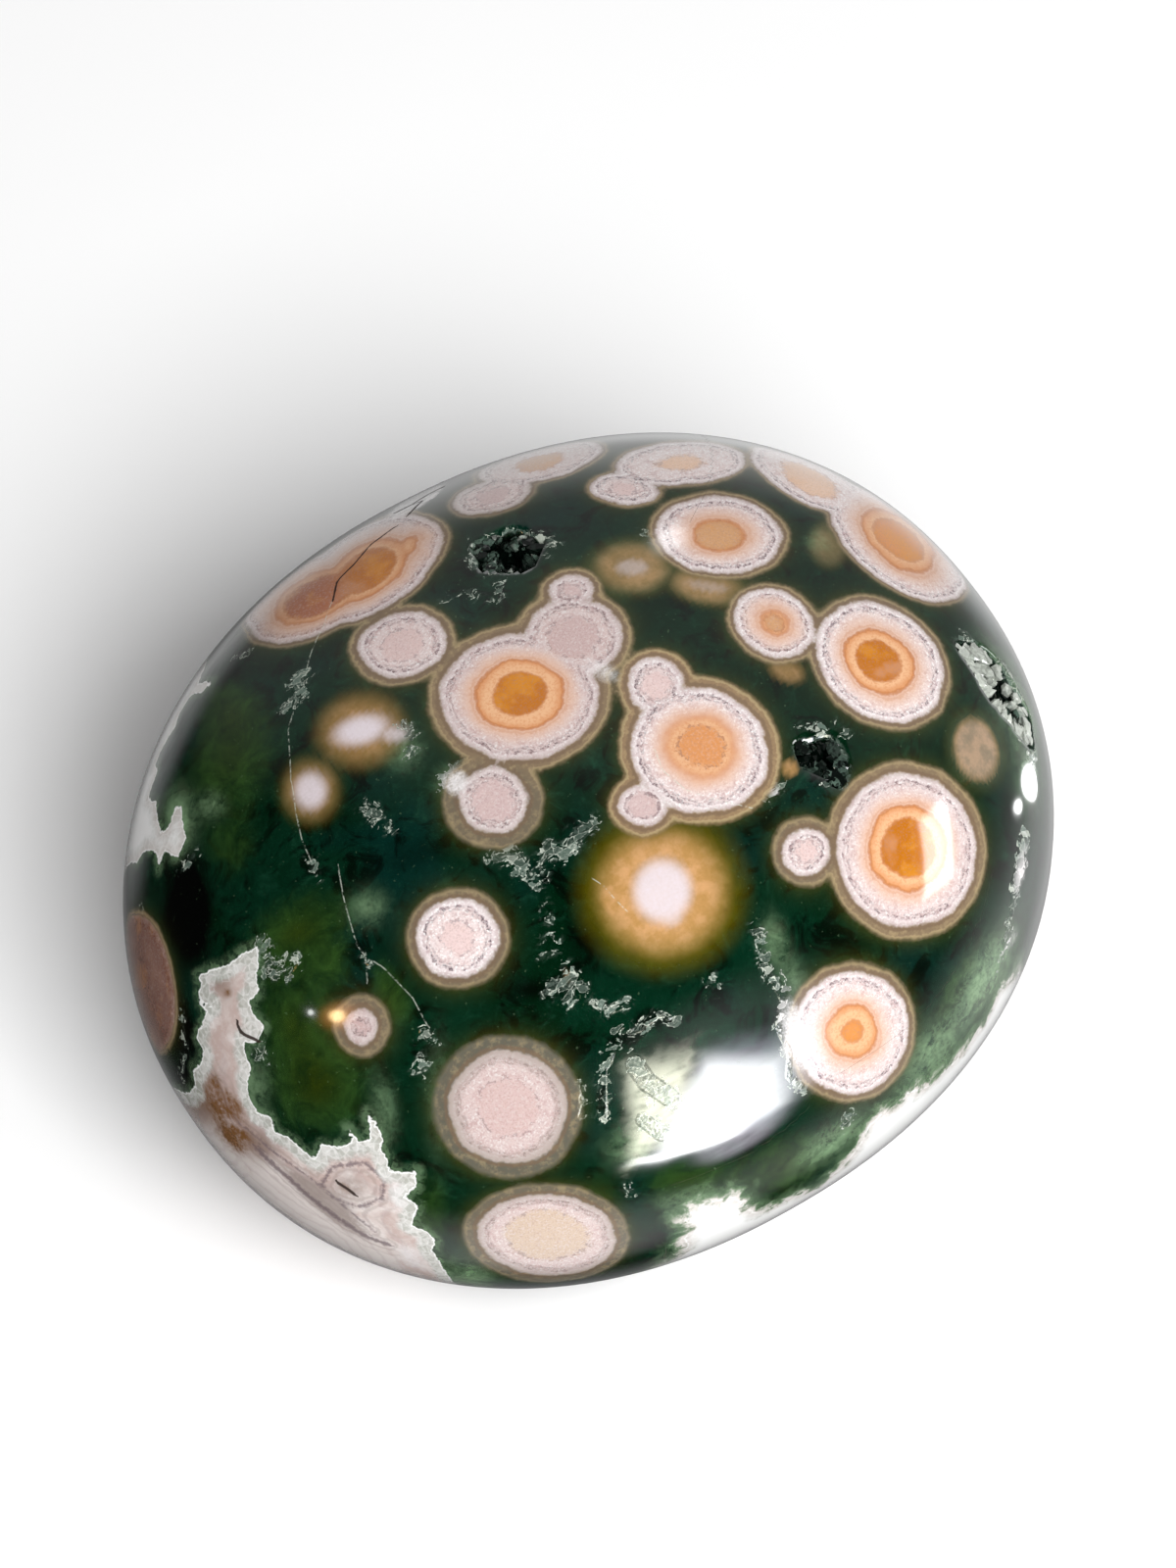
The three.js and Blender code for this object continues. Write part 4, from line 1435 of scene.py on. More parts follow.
class JasperPainter:
    """Lays the jasper's growths over one another on a material's desk, the lowest first."""

    def __init__(self, tones: JasperFinish, desk: Desk, grain: bpy.types.NodeTree) -> None:
        """Lays what the growths share: the place in mm, crystal grain and a wandering offset.

        Args:
            tones: the colours.
            desk: the material's desk.
            grain: the crystal grain group.
        """
        self.tones = tones
        self.desk = desk
        self.place = desk.millimetres()
        self.crystals = desk.group(grain, Place=self.place)
        self.sway = desk.add(  # mm
            desk.ramp(desk.noise(self.place, 0.45, 3.0), 0.75, -0.375),
            desk.ramp(desk.noise(self.place, 3.2, 3.0), 0.34, -0.17))
        self.colour: object = tones.ground_dark  # what has been laid so far

    def paint(self) -> tuple[Socket, Socket, Socket]:
        """Lays every growth.

        Returns:
            The masks of the flush crystals, the open cracks and the hollows.
        """
        self.lay_ground()
        self.lay_sunk()
        sparkle = self.lay_crystals()
        self.lay_quartz()
        self.lay_orbs()
        return sparkle, self.lay_cracks(), self.lay_hollows()

    def thin_vein(self, kind: Vein) -> Socket:
        """Distance to the thin veins of one kind in mm, sharp across them, large elsewhere."""
        desk = self.desk
        offset, half, _ = desk.split("thin")
        far = desk.step(desk.quad("veins")[kind.value], 0.2, 0.5)
        across = desk.maths("SUBTRACT", desk.maths("ABSOLUTE", offset), half)
        return desk.add(across, desk.times(far, 9.0))

    def lay_ground(self) -> None:
        """The green chalcedony: dark depths, drifting plumes, moss, mist, stains and specks."""
        desk, place, tones = self.desk, self.place, self.tones
        step, times, add = desk.step, desk.times, desk.add
        drift = desk.noise(place, 0.11, 4.0, 0.6, 1.2)
        plume = desk.noise(place, 0.5, 5.0, 0.65, 0.8)
        fine = desk.noise(place, 2.4, 5.0, 0.65)
        depths = desk.noise(place, 0.32, 4.0, 0.62, 1.4)
        moss, mist, dark_and_shade, stain = desk.quad("ground")
        olive = desk.mix(step(moss, 0.75, 1.35), tones.moss_light, tones.moss_olive)
        veil = times(mist, step(add(plume, times(fine, 0.6)), 0.42, 1.05))
        streaks = add(times(plume, 1.2), times(fine, 0.6), -0.25)
        self.colour = desk.lay(
            self.colour,
            (tones.ground_deep, step(drift, 0.36, 0.62)),
            (tones.ground_blue, step(desk.noise(place, 0.09, 2.0), 0.5, 0.66), 0.35),
            (tones.ground_light, step(plume, 0.52, 0.82), 0.55),
            (tones.ground_light, step(fine, 0.5, 0.78), 0.2),
            (tones.black_and_shade, step(depths, 0.5, 0.36), 0.8),
            (tones.ground_dark, step(fine, 0.46, 0.3), 0.4),
            (desk.mix(step(add(plume, times(fine, 0.3)), 0.3, 1.0), tones.moss_dark, olive),
             step(times(moss, add(0.5, plume)), 0.12, 0.95)),
            (tones.mist, desk.maths("MINIMUM", veil, 0.9)),
            (tones.black_and_shade, step(times(dark_and_shade, add(0.6, plume)), 0.2, 1.0)),
            (tones.stain, step(times(stain, streaks), 0.2, 1.0)),
            (tones.mist, step(desk.noise(place, 3.3, 2.0, 0.4), 0.7, 0.78), 0.14))

    def lay_sunk(self) -> None:
        """Orbs under the surface: a glow, a warm ring and a pale middle, all soft."""
        desk, tones = self.desk, self.tones
        white, amber, glow, grey = desk.quad("sunk")
        cloud = desk.noise(self.place, 0.8, 4.0, 0.6)
        grain = desk.noise(self.place, 4.5, 3.0, 0.6)
        ring = desk.lay(
            tones.sunk_amber, (tones.sunk_brown, grey),
            (tones.peach_light, desk.step(cloud, 0.4, 0.62), 0.3))
        self.colour = desk.lay(
            self.colour,
            (desk.mix(grey, tones.olive_glow, tones.teal_glow), glow, desk.add(0.5, cloud)),
            (ring, amber, desk.add(0.55, desk.times(cloud, 0.4), desk.times(grain, 0.35))),
            (tones.sunk_white, white, desk.ramp(grain, 0.36, 0.72)))

    def lay_crystals(self) -> Socket:
        """Clusters of clear quartz that the polish cut flush: bright ridges with painted glints
        round clear bodies.

        Returns:
            Their mask.
        """
        desk, place, tones = self.desk, self.place, self.tones
        step, ramp, times, add = desk.step, desk.ramp, desk.times, desk.add
        near = desk.quad("veins")[Vein.CRYSTALS.value]
        frost = desk.split("quartz")[2]
        shake = desk.fill(desk.node("ShaderNodeTexNoise"), Vector=place, Scale=0.9)
        squash = desk.fill(
            desk.node("ShaderNodeMapping"), Vector=place, Rotation=(0.4, 0.2, 0.7),
            Scale=(0.7, 1.35, 1.0))
        warp = desk.node("ShaderNodeVectorMath", operation="MULTIPLY_ADD")
        for socket, value in zip(
                warp.inputs, (shake.outputs["Color"], (1.3, 1.3, 1.3), squash.outputs[0])):
            desk.put(socket, value)
        bent = warp.outputs[0]
        chance, tone, turn = desk.chances(bent, 1.5)
        sliver, spread, bright = desk.chances(bent, 3.4)
        rim, fold = (desk.cells(bent, scale, "DISTANCE_TO_EDGE").outputs["Distance"]
                     for scale in (1.5, 3.4))
        fibre = step(desk.noise(place, 4.0, 5.0, 0.7), 0.42, 0.62)
        ragged = add(near, times(chance, 0.8), times(sliver, 0.6), -0.62)
        mask = step(ragged, 0.04, -0.02)
        ghost = step(add(ragged, times(spread, 0.3)), 0.5, -0.1)
        # Painted glints along the cells' edges and folds.
        glint = add(times(step(rim, 0.055, 0.015), 0.9), times(step(fold, 0.045, 0.01), 0.45))
        skin = desk.line(ragged, -0.03, 0.02, 0.05)
        body = desk.lay(
            tones.crystal_dark,
            (tones.crystal_mid, step(tone, 0.25, 0.95)),
            (tones.crystal_mid, step(bright, 0.5, 0.9), 0.55),
            (tones.crystal_pale, step(turn, 0.9, 0.93), 0.7),
            (tones.crystal_pale, glint, ramp(fibre, 0.75, 0.25)),
            (tones.crystal_pale, skin, ramp(fibre, 0.6, 0.15)),
            # Frost, partly painted glare.
            (tones.frost, step(frost, 0.1, 0.7)))
        ridges = desk.maths("MAXIMUM", glint, skin)
        self.colour = desk.lay(
            self.colour,
            (tones.crystal_mid, ghost, ramp(fibre, 0.22, 0.16)),
            (body, mask, desk.maths("MAXIMUM", ramp(tone, 0.5, 0.36), ridges)))
        return mask

    def lay_quartz(self) -> None:
        """The white quartz fields: a bright toothed edge, a frosty band, then banded white."""
        desk, place, tones = self.desk, self.place, self.tones
        step, ramp, times, add = desk.step, desk.ramp, desk.times, desk.add
        facet, edges = self.crystals.outputs["Facet"], self.crystals.outputs["Edge"]
        depth, white, _ = desk.split("quartz")
        seam = desk.quad("veins")[Vein.SEAM.value]
        _, mist, dark_and_shade, stain = desk.quad("ground")
        fog = desk.noise(place, 0.55, 5.0, 0.6, 0.6)
        fine = desk.noise(place, 3.0, 5.0, 0.65)
        grain = step(self.crystals.outputs["Tone"], 0.25, 0.75)
        jag = add(depth, times(facet, 0.26), times(self.sway, 0.7), -0.1)
        waves = step(desk.maths("SINE", times(add(seam, times(fog, 1.2)), 8.0)), 0.0, 1.0)
        ripples = step(desk.maths("SINE", times(add(depth, times(fog, 1.4)), 5.0)), 0.3, 1.0)
        broken = add(self.thin_vein(Vein.SEAM), ramp(fine, 1.1, -0.55))
        brown = times(stain, add(times(fog, 1.7), times(fine, 0.9), -0.72))
        banded = desk.lay(
            tones.quartz_pink,
            (tones.quartz_white, step(add(fog, times(step(depth, 1.2, 4.5), 0.3)), 0.4, 0.8)),
            (tones.quartz_mauve, step(desk.noise(place, 0.16, 3.0), 0.5, 0.66), 0.5),
            (tones.quartz_grey, waves, step(seam, 2.2, 0.2), 0.42),
            (tones.quartz_mauve, ripples, 0.22),
            (tones.quartz_white, step(fine, 0.5, 0.75), 0.35),
            (tones.quartz_grey, step(times(mist, ramp(fine, 0.9, 0.45)), 0.25, 1.0), 0.85),
            # Painted shade: the dark clouds where they lie over the quartz.
            (tones.quartz_shadow, step(times(dark_and_shade, add(0.4, fog)), 0.04, 0.6), 0.8),
            (tones.seam, step(broken, 0.2, -0.2), 0.8),
            (tones.quartz_brown, step(brown, 0.05, 0.85)))
        plain = desk.mix(step(add(depth, fog), 0.5, 1.6), tones.quartz_white, tones.line_white)
        frost = desk.mix(
            add(times(grain, 0.4), times(fine, 0.4)), tones.quartz_frost, tones.line_white)
        body = desk.lay(
            banded,
            (plain, white),
            (frost, step(add(jag, times(fog, 1.2), -0.6), 1.35, 0.75), ramp(white, -0.5, 0.75)),
            (tones.line_white, edges, step(jag, 1.5, 0.9), 0.22),
            (tones.line_white, desk.line(jag, 0.05, 0.03, 0.06), ramp(fine, 0.8, 0.35)))
        hazy = step(white, 0.9, 1.0)
        reach = add(jag, times(step(fog, 0.35, 0.65), 1.1), -0.55)
        halo = times(step(jag, -0.9, -0.02), ramp(grain, 0.35, 0.1))
        wide = times(step(reach, -2.3, 0.0), hazy, ramp(fine, 0.5, 0.35))
        toothed = times(step(jag, -0.05, 0.05), desk.rest(hazy))
        streaky = times(step(add(reach, ramp(fine, 1.8, -0.9)), -0.35, 0.55), hazy)
        self.colour = desk.lay(
            self.colour,
            (tones.mist, desk.maths("MAXIMUM", halo, wide)),
            (tones.quartz_white, step(reach, -0.9, 0.2), hazy, ramp(grain, 0.8, 0.1)),
            (body, add(toothed, streaky)))

    def lay_orbs(self) -> None:
        """The banded orbs in a glow, and frost over them, partly painted glare."""
        desk, tones = self.desk, self.tones
        orbs = OrbPainter(tones, desk, self.place, self.sway)
        frost = desk.split("quartz")[2]
        veil = desk.times(
            frost, desk.add(0.35, desk.times(orbs.mottle, 0.7), desk.times(orbs.fine, 0.6)))
        self.colour = desk.lay(
            self.colour,
            (tones.rim_glow, orbs.haze, desk.ramp(orbs.mottle, 0.5, 0.25)),
            (orbs.band(), desk.step(orbs.rim, 0.3, -0.24)),
            (orbs.hearted(orbs.ringed(orbs.shell())), desk.step(orbs.edge, 0.03, -0.24)),
            # Frost over the orbs, partly painted glare.
            (tones.frost, desk.step(veil, 0.35, 1.0), desk.ramp(orbs.fine, 0.7, 0.4)))

    def lay_cracks(self) -> Socket:
        """Fine open cracks, and healed ones that are pale.

        Returns:
            The mask of the open ones.
        """
        desk, tones = self.desk, self.tones
        torn = desk.noise(self.place, 3.0, 4.0, 0.6)
        shift = desk.ramp(torn, 0.16, -0.08)
        thread = desk.step(desk.add(self.thin_vein(Vein.THREAD), shift), 0.07, 0.0)
        crack = desk.step(desk.add(self.thin_vein(Vein.CRACK), shift), 0.06, 0.0)
        self.colour = desk.lay(
            self.colour,
            (tones.crystal_pale, thread, desk.step(torn, 0.4, 0.6), 0.62),
            (tones.crack, crack, 0.96))
        return crack

    def lay_hollows(self) -> Socket:
        """The walls of the pockets: frosty at the mouth, and painted shade darkening them to black
        below.

        Returns:
            Their mask.
        """
        desk, tones = self.desk, self.tones
        near, depth, _ = desk.split("hollow")
        tone = self.crystals.outputs["Tone"]
        lip = desk.line(desk.add(near, desk.ramp(tone, 0.5, -0.25)), 0.05, 0.1, 0.25)
        mask = desk.step(near, 0.04, -0.06)
        wall = desk.lay(
            tones.ground_dark,
            (tones.crystal_dark, desk.step(tone, 0.35, 0.75)),
            # Painted shade: the wall goes black with how deep it was sunk.
            (tones.black_and_shade, desk.step(depth, 0.2, 0.9)))
        self.colour = desk.lay(
            self.colour,
            (tones.crystal_mid, lip, desk.step(tone, 0.45, 0.62), 0.6),
            (wall, mask))
        return mask


@dataclass(frozen=True)
class QuartzFinish:
    """Clear to milky quartz crystals, in painted shade deep in the pocket."""

    tint: Colour = rgb("5d7266")
    milk: Colour = rgb("dfe4da")
    shade: Colour = rgb("050d09")
    refraction: float = 1.54
    roughness: float = 0.06
    clearness: float = 0.35

    def build(self, grain: bpy.types.NodeTree) -> bpy.types.Material:
        """Makes the material.

        Args:
            grain: the crystal grain group.
        Returns:
            The material.
        """
        material, desk, shader = start_material("quartz_crystal")
        place = desk.millimetres()
        tone = desk.group(grain, Place=place).outputs["Tone"]
        cloud = desk.noise(place, 1.3, 4.0, 0.6)
        pale = desk.node("ShaderNodeAttribute", attribute_name="paleness").outputs["Fac"]
        milk = desk.times(
            desk.step(desk.add(pale, desk.times(cloud, 0.3)), 0.9, 1.12),
            desk.ramp(tone, 0.6, 0.5))
        colour = desk.lay(
            self.shade,
            (self.tint, desk.step(tone, 0.3, 0.6)),
            (self.milk, milk),
            # Painted shade: crystals with little paleness, deep in the pocket, go near black.
            (self.shade, desk.step(pale, 0.74, 0.5)))
        desk.fill(
            shader, Base_Color=colour, Roughness=desk.ramp(milk, 0.14, self.roughness),
            IOR=self.refraction, Transmission_Weight=self.clearness,
            Normal=desk.bump(desk.times(desk.noise(place, 4.0, 2.0), 0.02), 0.3))
        return material


# ---------------------------------------------------------------- pieces

def make_piece(name: str, points: Array, faces: Array, material: bpy.types.Material,
               smooth: bool) -> bpy.types.Object:
    """Puts computed points and faces into an object at the origin.

    Args:
        name: the piece's name.
        points: corners in mm in the part's frame, shape (n, 3).
        faces: corner numbers, shape (m, 3) or (m, 4).
        material: its finish.
        smooth: shaded smooth.
    Returns:
        The object.
    """
    mesh = bpy.data.meshes.new(name)
    count, sides = faces.shape
    mesh.vertices.add(len(points))
    mesh.vertices.foreach_set("co", (points * MM).astype(np.float32).ravel())
    mesh.loops.add(count * sides)
    mesh.loops.foreach_set("vertex_index", faces.astype(np.int32).ravel())
    mesh.polygons.add(count)
    mesh.polygons.foreach_set("loop_start", np.arange(0, count * sides, sides, dtype=np.int32))
    mesh.polygons.foreach_set("use_smooth", np.full(count, smooth))
    mesh.update(calc_edges=True)
    mesh.validate()
    mesh.materials.append(material)
    piece = bpy.data.objects.new(name, mesh)
    bpy.context.scene.collection.objects.link(piece)
    return piece


def triangles(a: Numbers, b: Numbers, c: Numbers) -> Array:
    """Triangles of three rows of corner numbers; a single number stands for a whole row."""
    return np.stack(np.broadcast_arrays(a, b, c), 1)


def outward(points: Array, faces: Array, middle: Array) -> Array:
    """Turns faces so that each looks away from the middle.

    Args:
        points: corners, shape (n, 3).
        faces: corner numbers, shape (m, 4).
        middle: the point to look away from.
    Returns:
        The faces, some of them in reverse order.
    """
    corner = points[faces[:, :3]]
    normal = np.cross(corner[:, 1] - corner[:, 0], corner[:, 2] - corner[:, 0])
    wrong = (normal * (corner.mean(1) - middle)).sum(1) < 0
    return np.where(wrong[:, None], faces[:, ::-1], faces)


@dataclass
class JasperStone:
    """The pebble itself, with everything that grew in it written on its surface."""

    pebble: Pebble
    view: MainView
    offset: Array  # from the stone's middle to the part's frame, mm
    divisions: int = 126  # faces along each side of the six patches

    def directions(self) -> tuple[Array, Array]:
        """The six square patches of a cube blown up into a sphere.

        On a patch, two parameters run from -1 to 1 in equal steps, and the direction is
        (1, tan(a * 45 degrees), tan(b * 45 degrees)) scaled to length one, turned to face each
        way. Corners that patches share are made one.

        Returns:
            Unit directions (n, 3) and faces (m, 4).
        """
        n = self.divisions
        i, j = np.meshgrid(np.arange(n + 1), np.arange(n + 1), indexing="ij")
        grid = i * (n + 1) + j
        quads = np.stack(
            [grid[:-1, :-1], grid[1:, :-1], grid[1:, 1:], grid[:-1, 1:]], -1).reshape(-1, 4)
        lattice, faces = [], []
        for axis in range(3):
            for side in (0, n):
                patch = np.insert(np.stack([i, j], -1).reshape(-1, 2), axis, side, 1)
                faces.append(quads + len(lattice) * (n + 1) ** 2)
                lattice.append(patch)
        corners, index = np.unique(np.vstack(lattice), axis=0, return_inverse=True)
        directions = unit(np.tan((2 * corners / n - 1) * math.pi / 4))
        faces = index.ravel()[np.vstack(faces)]
        return directions, outward(directions, faces, np.zeros(3))

    def carve(self, points: Array) -> tuple[Array, Array]:
        """Grinds the foot flat and sinks the pockets.

        Inside a pocket's outline a point drops to deep * sqrt(1 - reach^2) below the mouth.

        Args:
            points: surface points, shape (n, 3).
        Returns:
            The carved points and how deep each was sunk, in mm.
        """
        carved = points.copy()
        carved[:, 2] = np.maximum(carved[:, 2], self.pebble.foot)
        sunk = np.zeros(len(points))
        for pocket in POCKETS:
            middle, rows = pocket.axes(self.pebble)
            local = (carved - middle) @ rows.T
            near = np.abs(local[:, 2]) < MOUTH_SPAN
            reach = np.where(near, pocket.reach(local), FAR)
            bowl = -pocket.deep * np.sqrt(np.clip(1 - reach ** 2, 0, 1))
            drop = np.minimum(bowl - local[:, 2], 0) * (reach < 1)
            carved += drop[:, None] * rows[2]
            sunk = np.maximum(sunk, -drop)
        return carved, sunk

    def build(self, finish: bpy.types.Material) -> bpy.types.Object:
        """Makes the stone.

        Args:
            finish: the jasper material.
        Returns:
            The piece.
        """
        directions, faces = self.directions()
        points = self.pebble.point(directions)
        carved, sunk = self.carve(points)
        piece = make_piece("ocean_jasper", carved + self.offset, faces, finish, True)
        growth = Growth(self.pebble, self.view, points, self.pebble.normal(points))
        layers = growth.orbs(SEEN_ORBS + HIDDEN_ORBS)
        layers["sunk"] = growth.sunk(SUNK_ORBS)
        ground = growth.ground(CLOUDS)
        layers["ground"] = ground[:, :Ground.FROST_AND_GLARE.value]
        layers["veins"] = growth.veins(STROKES)
        layers["thin"] = growth.thin(STROKES)
        layers["quartz"] = growth.quartz(QUARTZ_FIELDS)
        layers["quartz"][:, 2] = ground[:, Ground.FROST_AND_GLARE.value]
        layers["hollow"] = np.stack([growth.hollows(POCKETS), sunk, np.zeros(len(sunk))], 1)
        for name, values in layers.items():
            colour = values.shape[1] == 4
            kind, part = ("FLOAT_COLOR", "color") if colour else ("FLOAT_VECTOR", "vector")
            layer = piece.data.attributes.new(name, kind, "POINT")
            layer.data.foreach_set(part, values.astype(np.float32).ravel())
        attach(piece, "root")
        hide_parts("stone")
        return piece


@dataclass
class CrystalCrust:
    """The crystals that line one pocket."""

    pebble: Pebble
    pocket: Pocket
    offset: Array
    crystals: int = 130
    radius: float = 0.3  # mm
    lining: float = 0.25  # thickness of the crust under them, mm
    gap: float = 0.05  # between the crust and the wall, mm
    lump: float = 0.22  # how far its lumps stand up, mm
    rim: float = 0.86  # share of the outline that it reaches
    rings: int = 14
    spokes: int = 40
    roots: Pair = (0.3, 1.0)  # squares of the shares of the outline between which they root
    radii: Pair = (0.55, 1.5)  # a crystal's radius, as a share of the usual one
    heights: Pair = (1.2, 2.6)  # a prism's height, in its own radii
    tips: Pair = (0.9, 1.4)  # the height of its point, in its own radii
    foot_width: float = 1.1  # widths of a prism's two ends, in its own radii
    neck_width: float = 0.86
    aim: float = 0.35  # mm over the mouth's middle that they lean towards
    stray: float = 0.55  # mm that their aims stray from it
    rise: float = 0.8  # mm of outward lean added to each
    milk: Pair = (0.5, 1.15)  # how pale they are, as shares of the pocket's paleness

    def wall(self, reach: Array, angle: Array, inset: float) -> Array:
        """Points of the pocket's wall, moved in by the inset, in the pocket's own frame.

        A point at a share of the outline lies at that share of the half sizes, and
        deep * sqrt(1 - share^2) down.

        Args:
            reach: share of the outline.
            angle: round the mouth, radians.
            inset: mm off the wall.
        Returns:
            Points, shape (..., 3).
        """
        pocket = self.pocket
        swell = pocket.outline(angle) * reach
        return np.stack([
            swell * np.cos(angle) * (pocket.long / 2 - inset),
            swell * np.sin(angle) * (pocket.wide / 2 - inset),
            -np.sqrt(np.maximum(1 - reach ** 2, 0)) * (pocket.deep - inset)], -1)

    def sheet(self, random: np.random.Generator) -> tuple[Array, Array]:
        """The crust itself: a lumpy bowl with an inner and an outer skin, joined at the rim.

        Args:
            random: the pocket's own random numbers.
        Returns:
            Points in the pocket's frame, and triangles.
        """
        reach = np.linspace(0, self.rim, self.rings + 1)[1:]
        angle = np.arange(self.spokes) * 2 * math.pi / self.spokes
        r, a = np.meshgrid(reach, angle, indexing="ij")
        insets = self.gap, self.gap + self.lining
        outer, inner = (self.wall(r, a, inset) for inset in insets)
        inner = inner - random.uniform(0, self.lump, r.shape)[..., None] * unit(inner)
        tips = [self.wall(np.array(0.0), np.array(0.0), inset) for inset in insets]
        points = np.vstack([outer.reshape(-1, 3), inner.reshape(-1, 3), *tips])
        m, half = self.spokes, self.rings * self.spokes
        row, column = np.meshgrid(np.arange(self.rings - 1) * m, np.arange(m), indexing="ij")
        here, beside = (row + column).ravel(), (row + (column + 1) % m).ravel()
        skin = np.vstack([
            triangles(here, here + m, beside + m), triangles(here, beside + m, beside)])
        first, second = np.arange(m), (np.arange(m) + 1) % m
        low, high = half - m, 2 * half - m  # where the rims of the outer and inner skin begin
        return points, np.vstack([
            skin[:, ::-1], skin + half,
            triangles(2 * half, second, first),
            triangles(half + first, half + second, 2 * half + 1),
            triangles(high + second, low + second, low + first),
            triangles(high + first, high + second, low + first)])

    def prisms(self, random: np.random.Generator) -> tuple[Array, Array, Array]:
        """Six-sided crystals rooted over the wall, leaning towards the pocket's mouth.

        Each is a prism that narrows a little and ends in a six-sided point, closed below.

        Args:
            random: the pocket's own random numbers.
        Returns:
            Points in the pocket's frame, triangles, and how pale each point is.
        """
        count, sides = self.crystals, 6
        reach = np.sqrt(random.uniform(*self.roots, count))
        angle = random.uniform(0, 2 * math.pi, count)
        root = self.wall(reach, angle, self.gap + self.lining * 0.5)
        aim = [0.0, 0.0, self.aim] + random.normal(0, self.stray, (count, 3))
        axis = unit(aim - root + [0.0, 0.0, self.rise])
        side = unit(np.cross(axis, random.normal(0, 1, (count, 3))))
        radius = self.radius * random.uniform(*self.radii, count)[:, None]
        height = radius * random.uniform(*self.heights, count)[:, None]
        point_height = radius * random.uniform(*self.tips, count)[:, None]
        turn = np.arange(sides)[:, None] * 2 * math.pi / sides
        ring = np.cos(turn) * side[:, None] + np.sin(turn) * np.cross(axis, side)[:, None]
        ring = ring * radius[:, None]
        low = root[:, None] + ring * self.foot_width
        top = (root + axis * height)[:, None] + ring * self.neck_width
        tip = root + axis * (height + point_height)
        points = np.concatenate([low, top, tip[:, None], root[:, None]], 1)
        here = np.arange(sides)
        after = (here + 1) % sides
        faces = np.vstack([
            triangles(here, after, after + sides), triangles(here, after + sides, here + sides),
            triangles(here + sides, after + sides, 2 * sides),
            triangles(after, here, 2 * sides + 1)])
        corners = points.shape[1]
        faces = (faces + np.arange(count)[:, None, None] * corners).reshape(-1, 3)
        # Crystals rooted deeper come out less pale, and so in painted shade.
        pale = self.pocket.pale * reach * random.uniform(*self.milk, count)
        return points.reshape(-1, 3), faces, np.repeat(pale, corners)

    def build(self, finish: bpy.types.Material) -> bpy.types.Object:
        """Makes the crust.

        Args:
            finish: the quartz material.
        Returns:
            The piece.
        """
        random = np.random.default_rng(self.pocket.phase)
        bowl, bowl_faces = self.sheet(random)
        spikes, spike_faces, spike_pale = self.prisms(random)
        middle, rows = self.pocket.axes(self.pebble)
        points = self.keep_inside(middle + np.vstack([bowl, spikes]) @ rows)
        faces = np.vstack([bowl_faces, spike_faces + len(bowl)])
        piece = make_piece(f"{self.pocket.name}_quartz", points + self.offset, faces, finish, False)
        # The crust's lining gets no paleness, so it is painted in full shade.
        pale = np.concatenate([np.zeros(len(bowl)), spike_pale])
        layer = piece.data.attributes.new("paleness", "FLOAT", "POINT")
        layer.data.foreach_set("value", pale.astype(np.float32))
        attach(piece, "root")
        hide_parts(self.pocket.name)
        return piece

    def keep_inside(self, points: Array) -> Array:
        """Points that would stand out of the polished surface, pulled back just under it.

        Args:
            points: points round the stone's middle, mm.
        Returns:
            The points, cut flush as the polish cuts them.
        """
        under = 0.999  # share of the way out at which they are cut
        full = self.pebble.fullness(self.pebble.upright(points))
        surface = self.pebble.point(self.pebble.direction(points)) * under
        return np.where((full > under)[:, None], surface, points)


# ---------------------------------------------------------------- the studio

@dataclass(frozen=True)
class Card:
    """A soft lamp that lights surfaces but doesn't show in the polish."""

    name: str
    azimuth: float  # degrees from +X, anticlockwise from above
    elevation: float
    distance: float  # mm from the stone
    width: float  # mm
    radiance: float  # brightness of its face
    target: tuple[float, float, float] = (0.0, 0.0, 21.0)  # mm in the part's frame

    def build(self) -> None:
        """Makes the area light."""
        data = bpy.data.lights.new(self.name, "AREA")
        data.shape = "SQUARE"
        data.size = self.width * MM
        data.energy = self.radiance * math.pi * data.size ** 2
        lamp = bpy.data.objects.new(self.name, data)
        out = Vector(heading(self.azimuth, self.elevation))
        lamp.location = (Vector(self.target) + out * self.distance) * MM
        lamp.rotation_mode = "QUATERNION"
        lamp.rotation_quaternion = out.to_track_quat("Z", "Y")
        lamp.visible_camera = False
        lamp.visible_glossy = False
        bpy.context.scene.collection.objects.link(lamp)


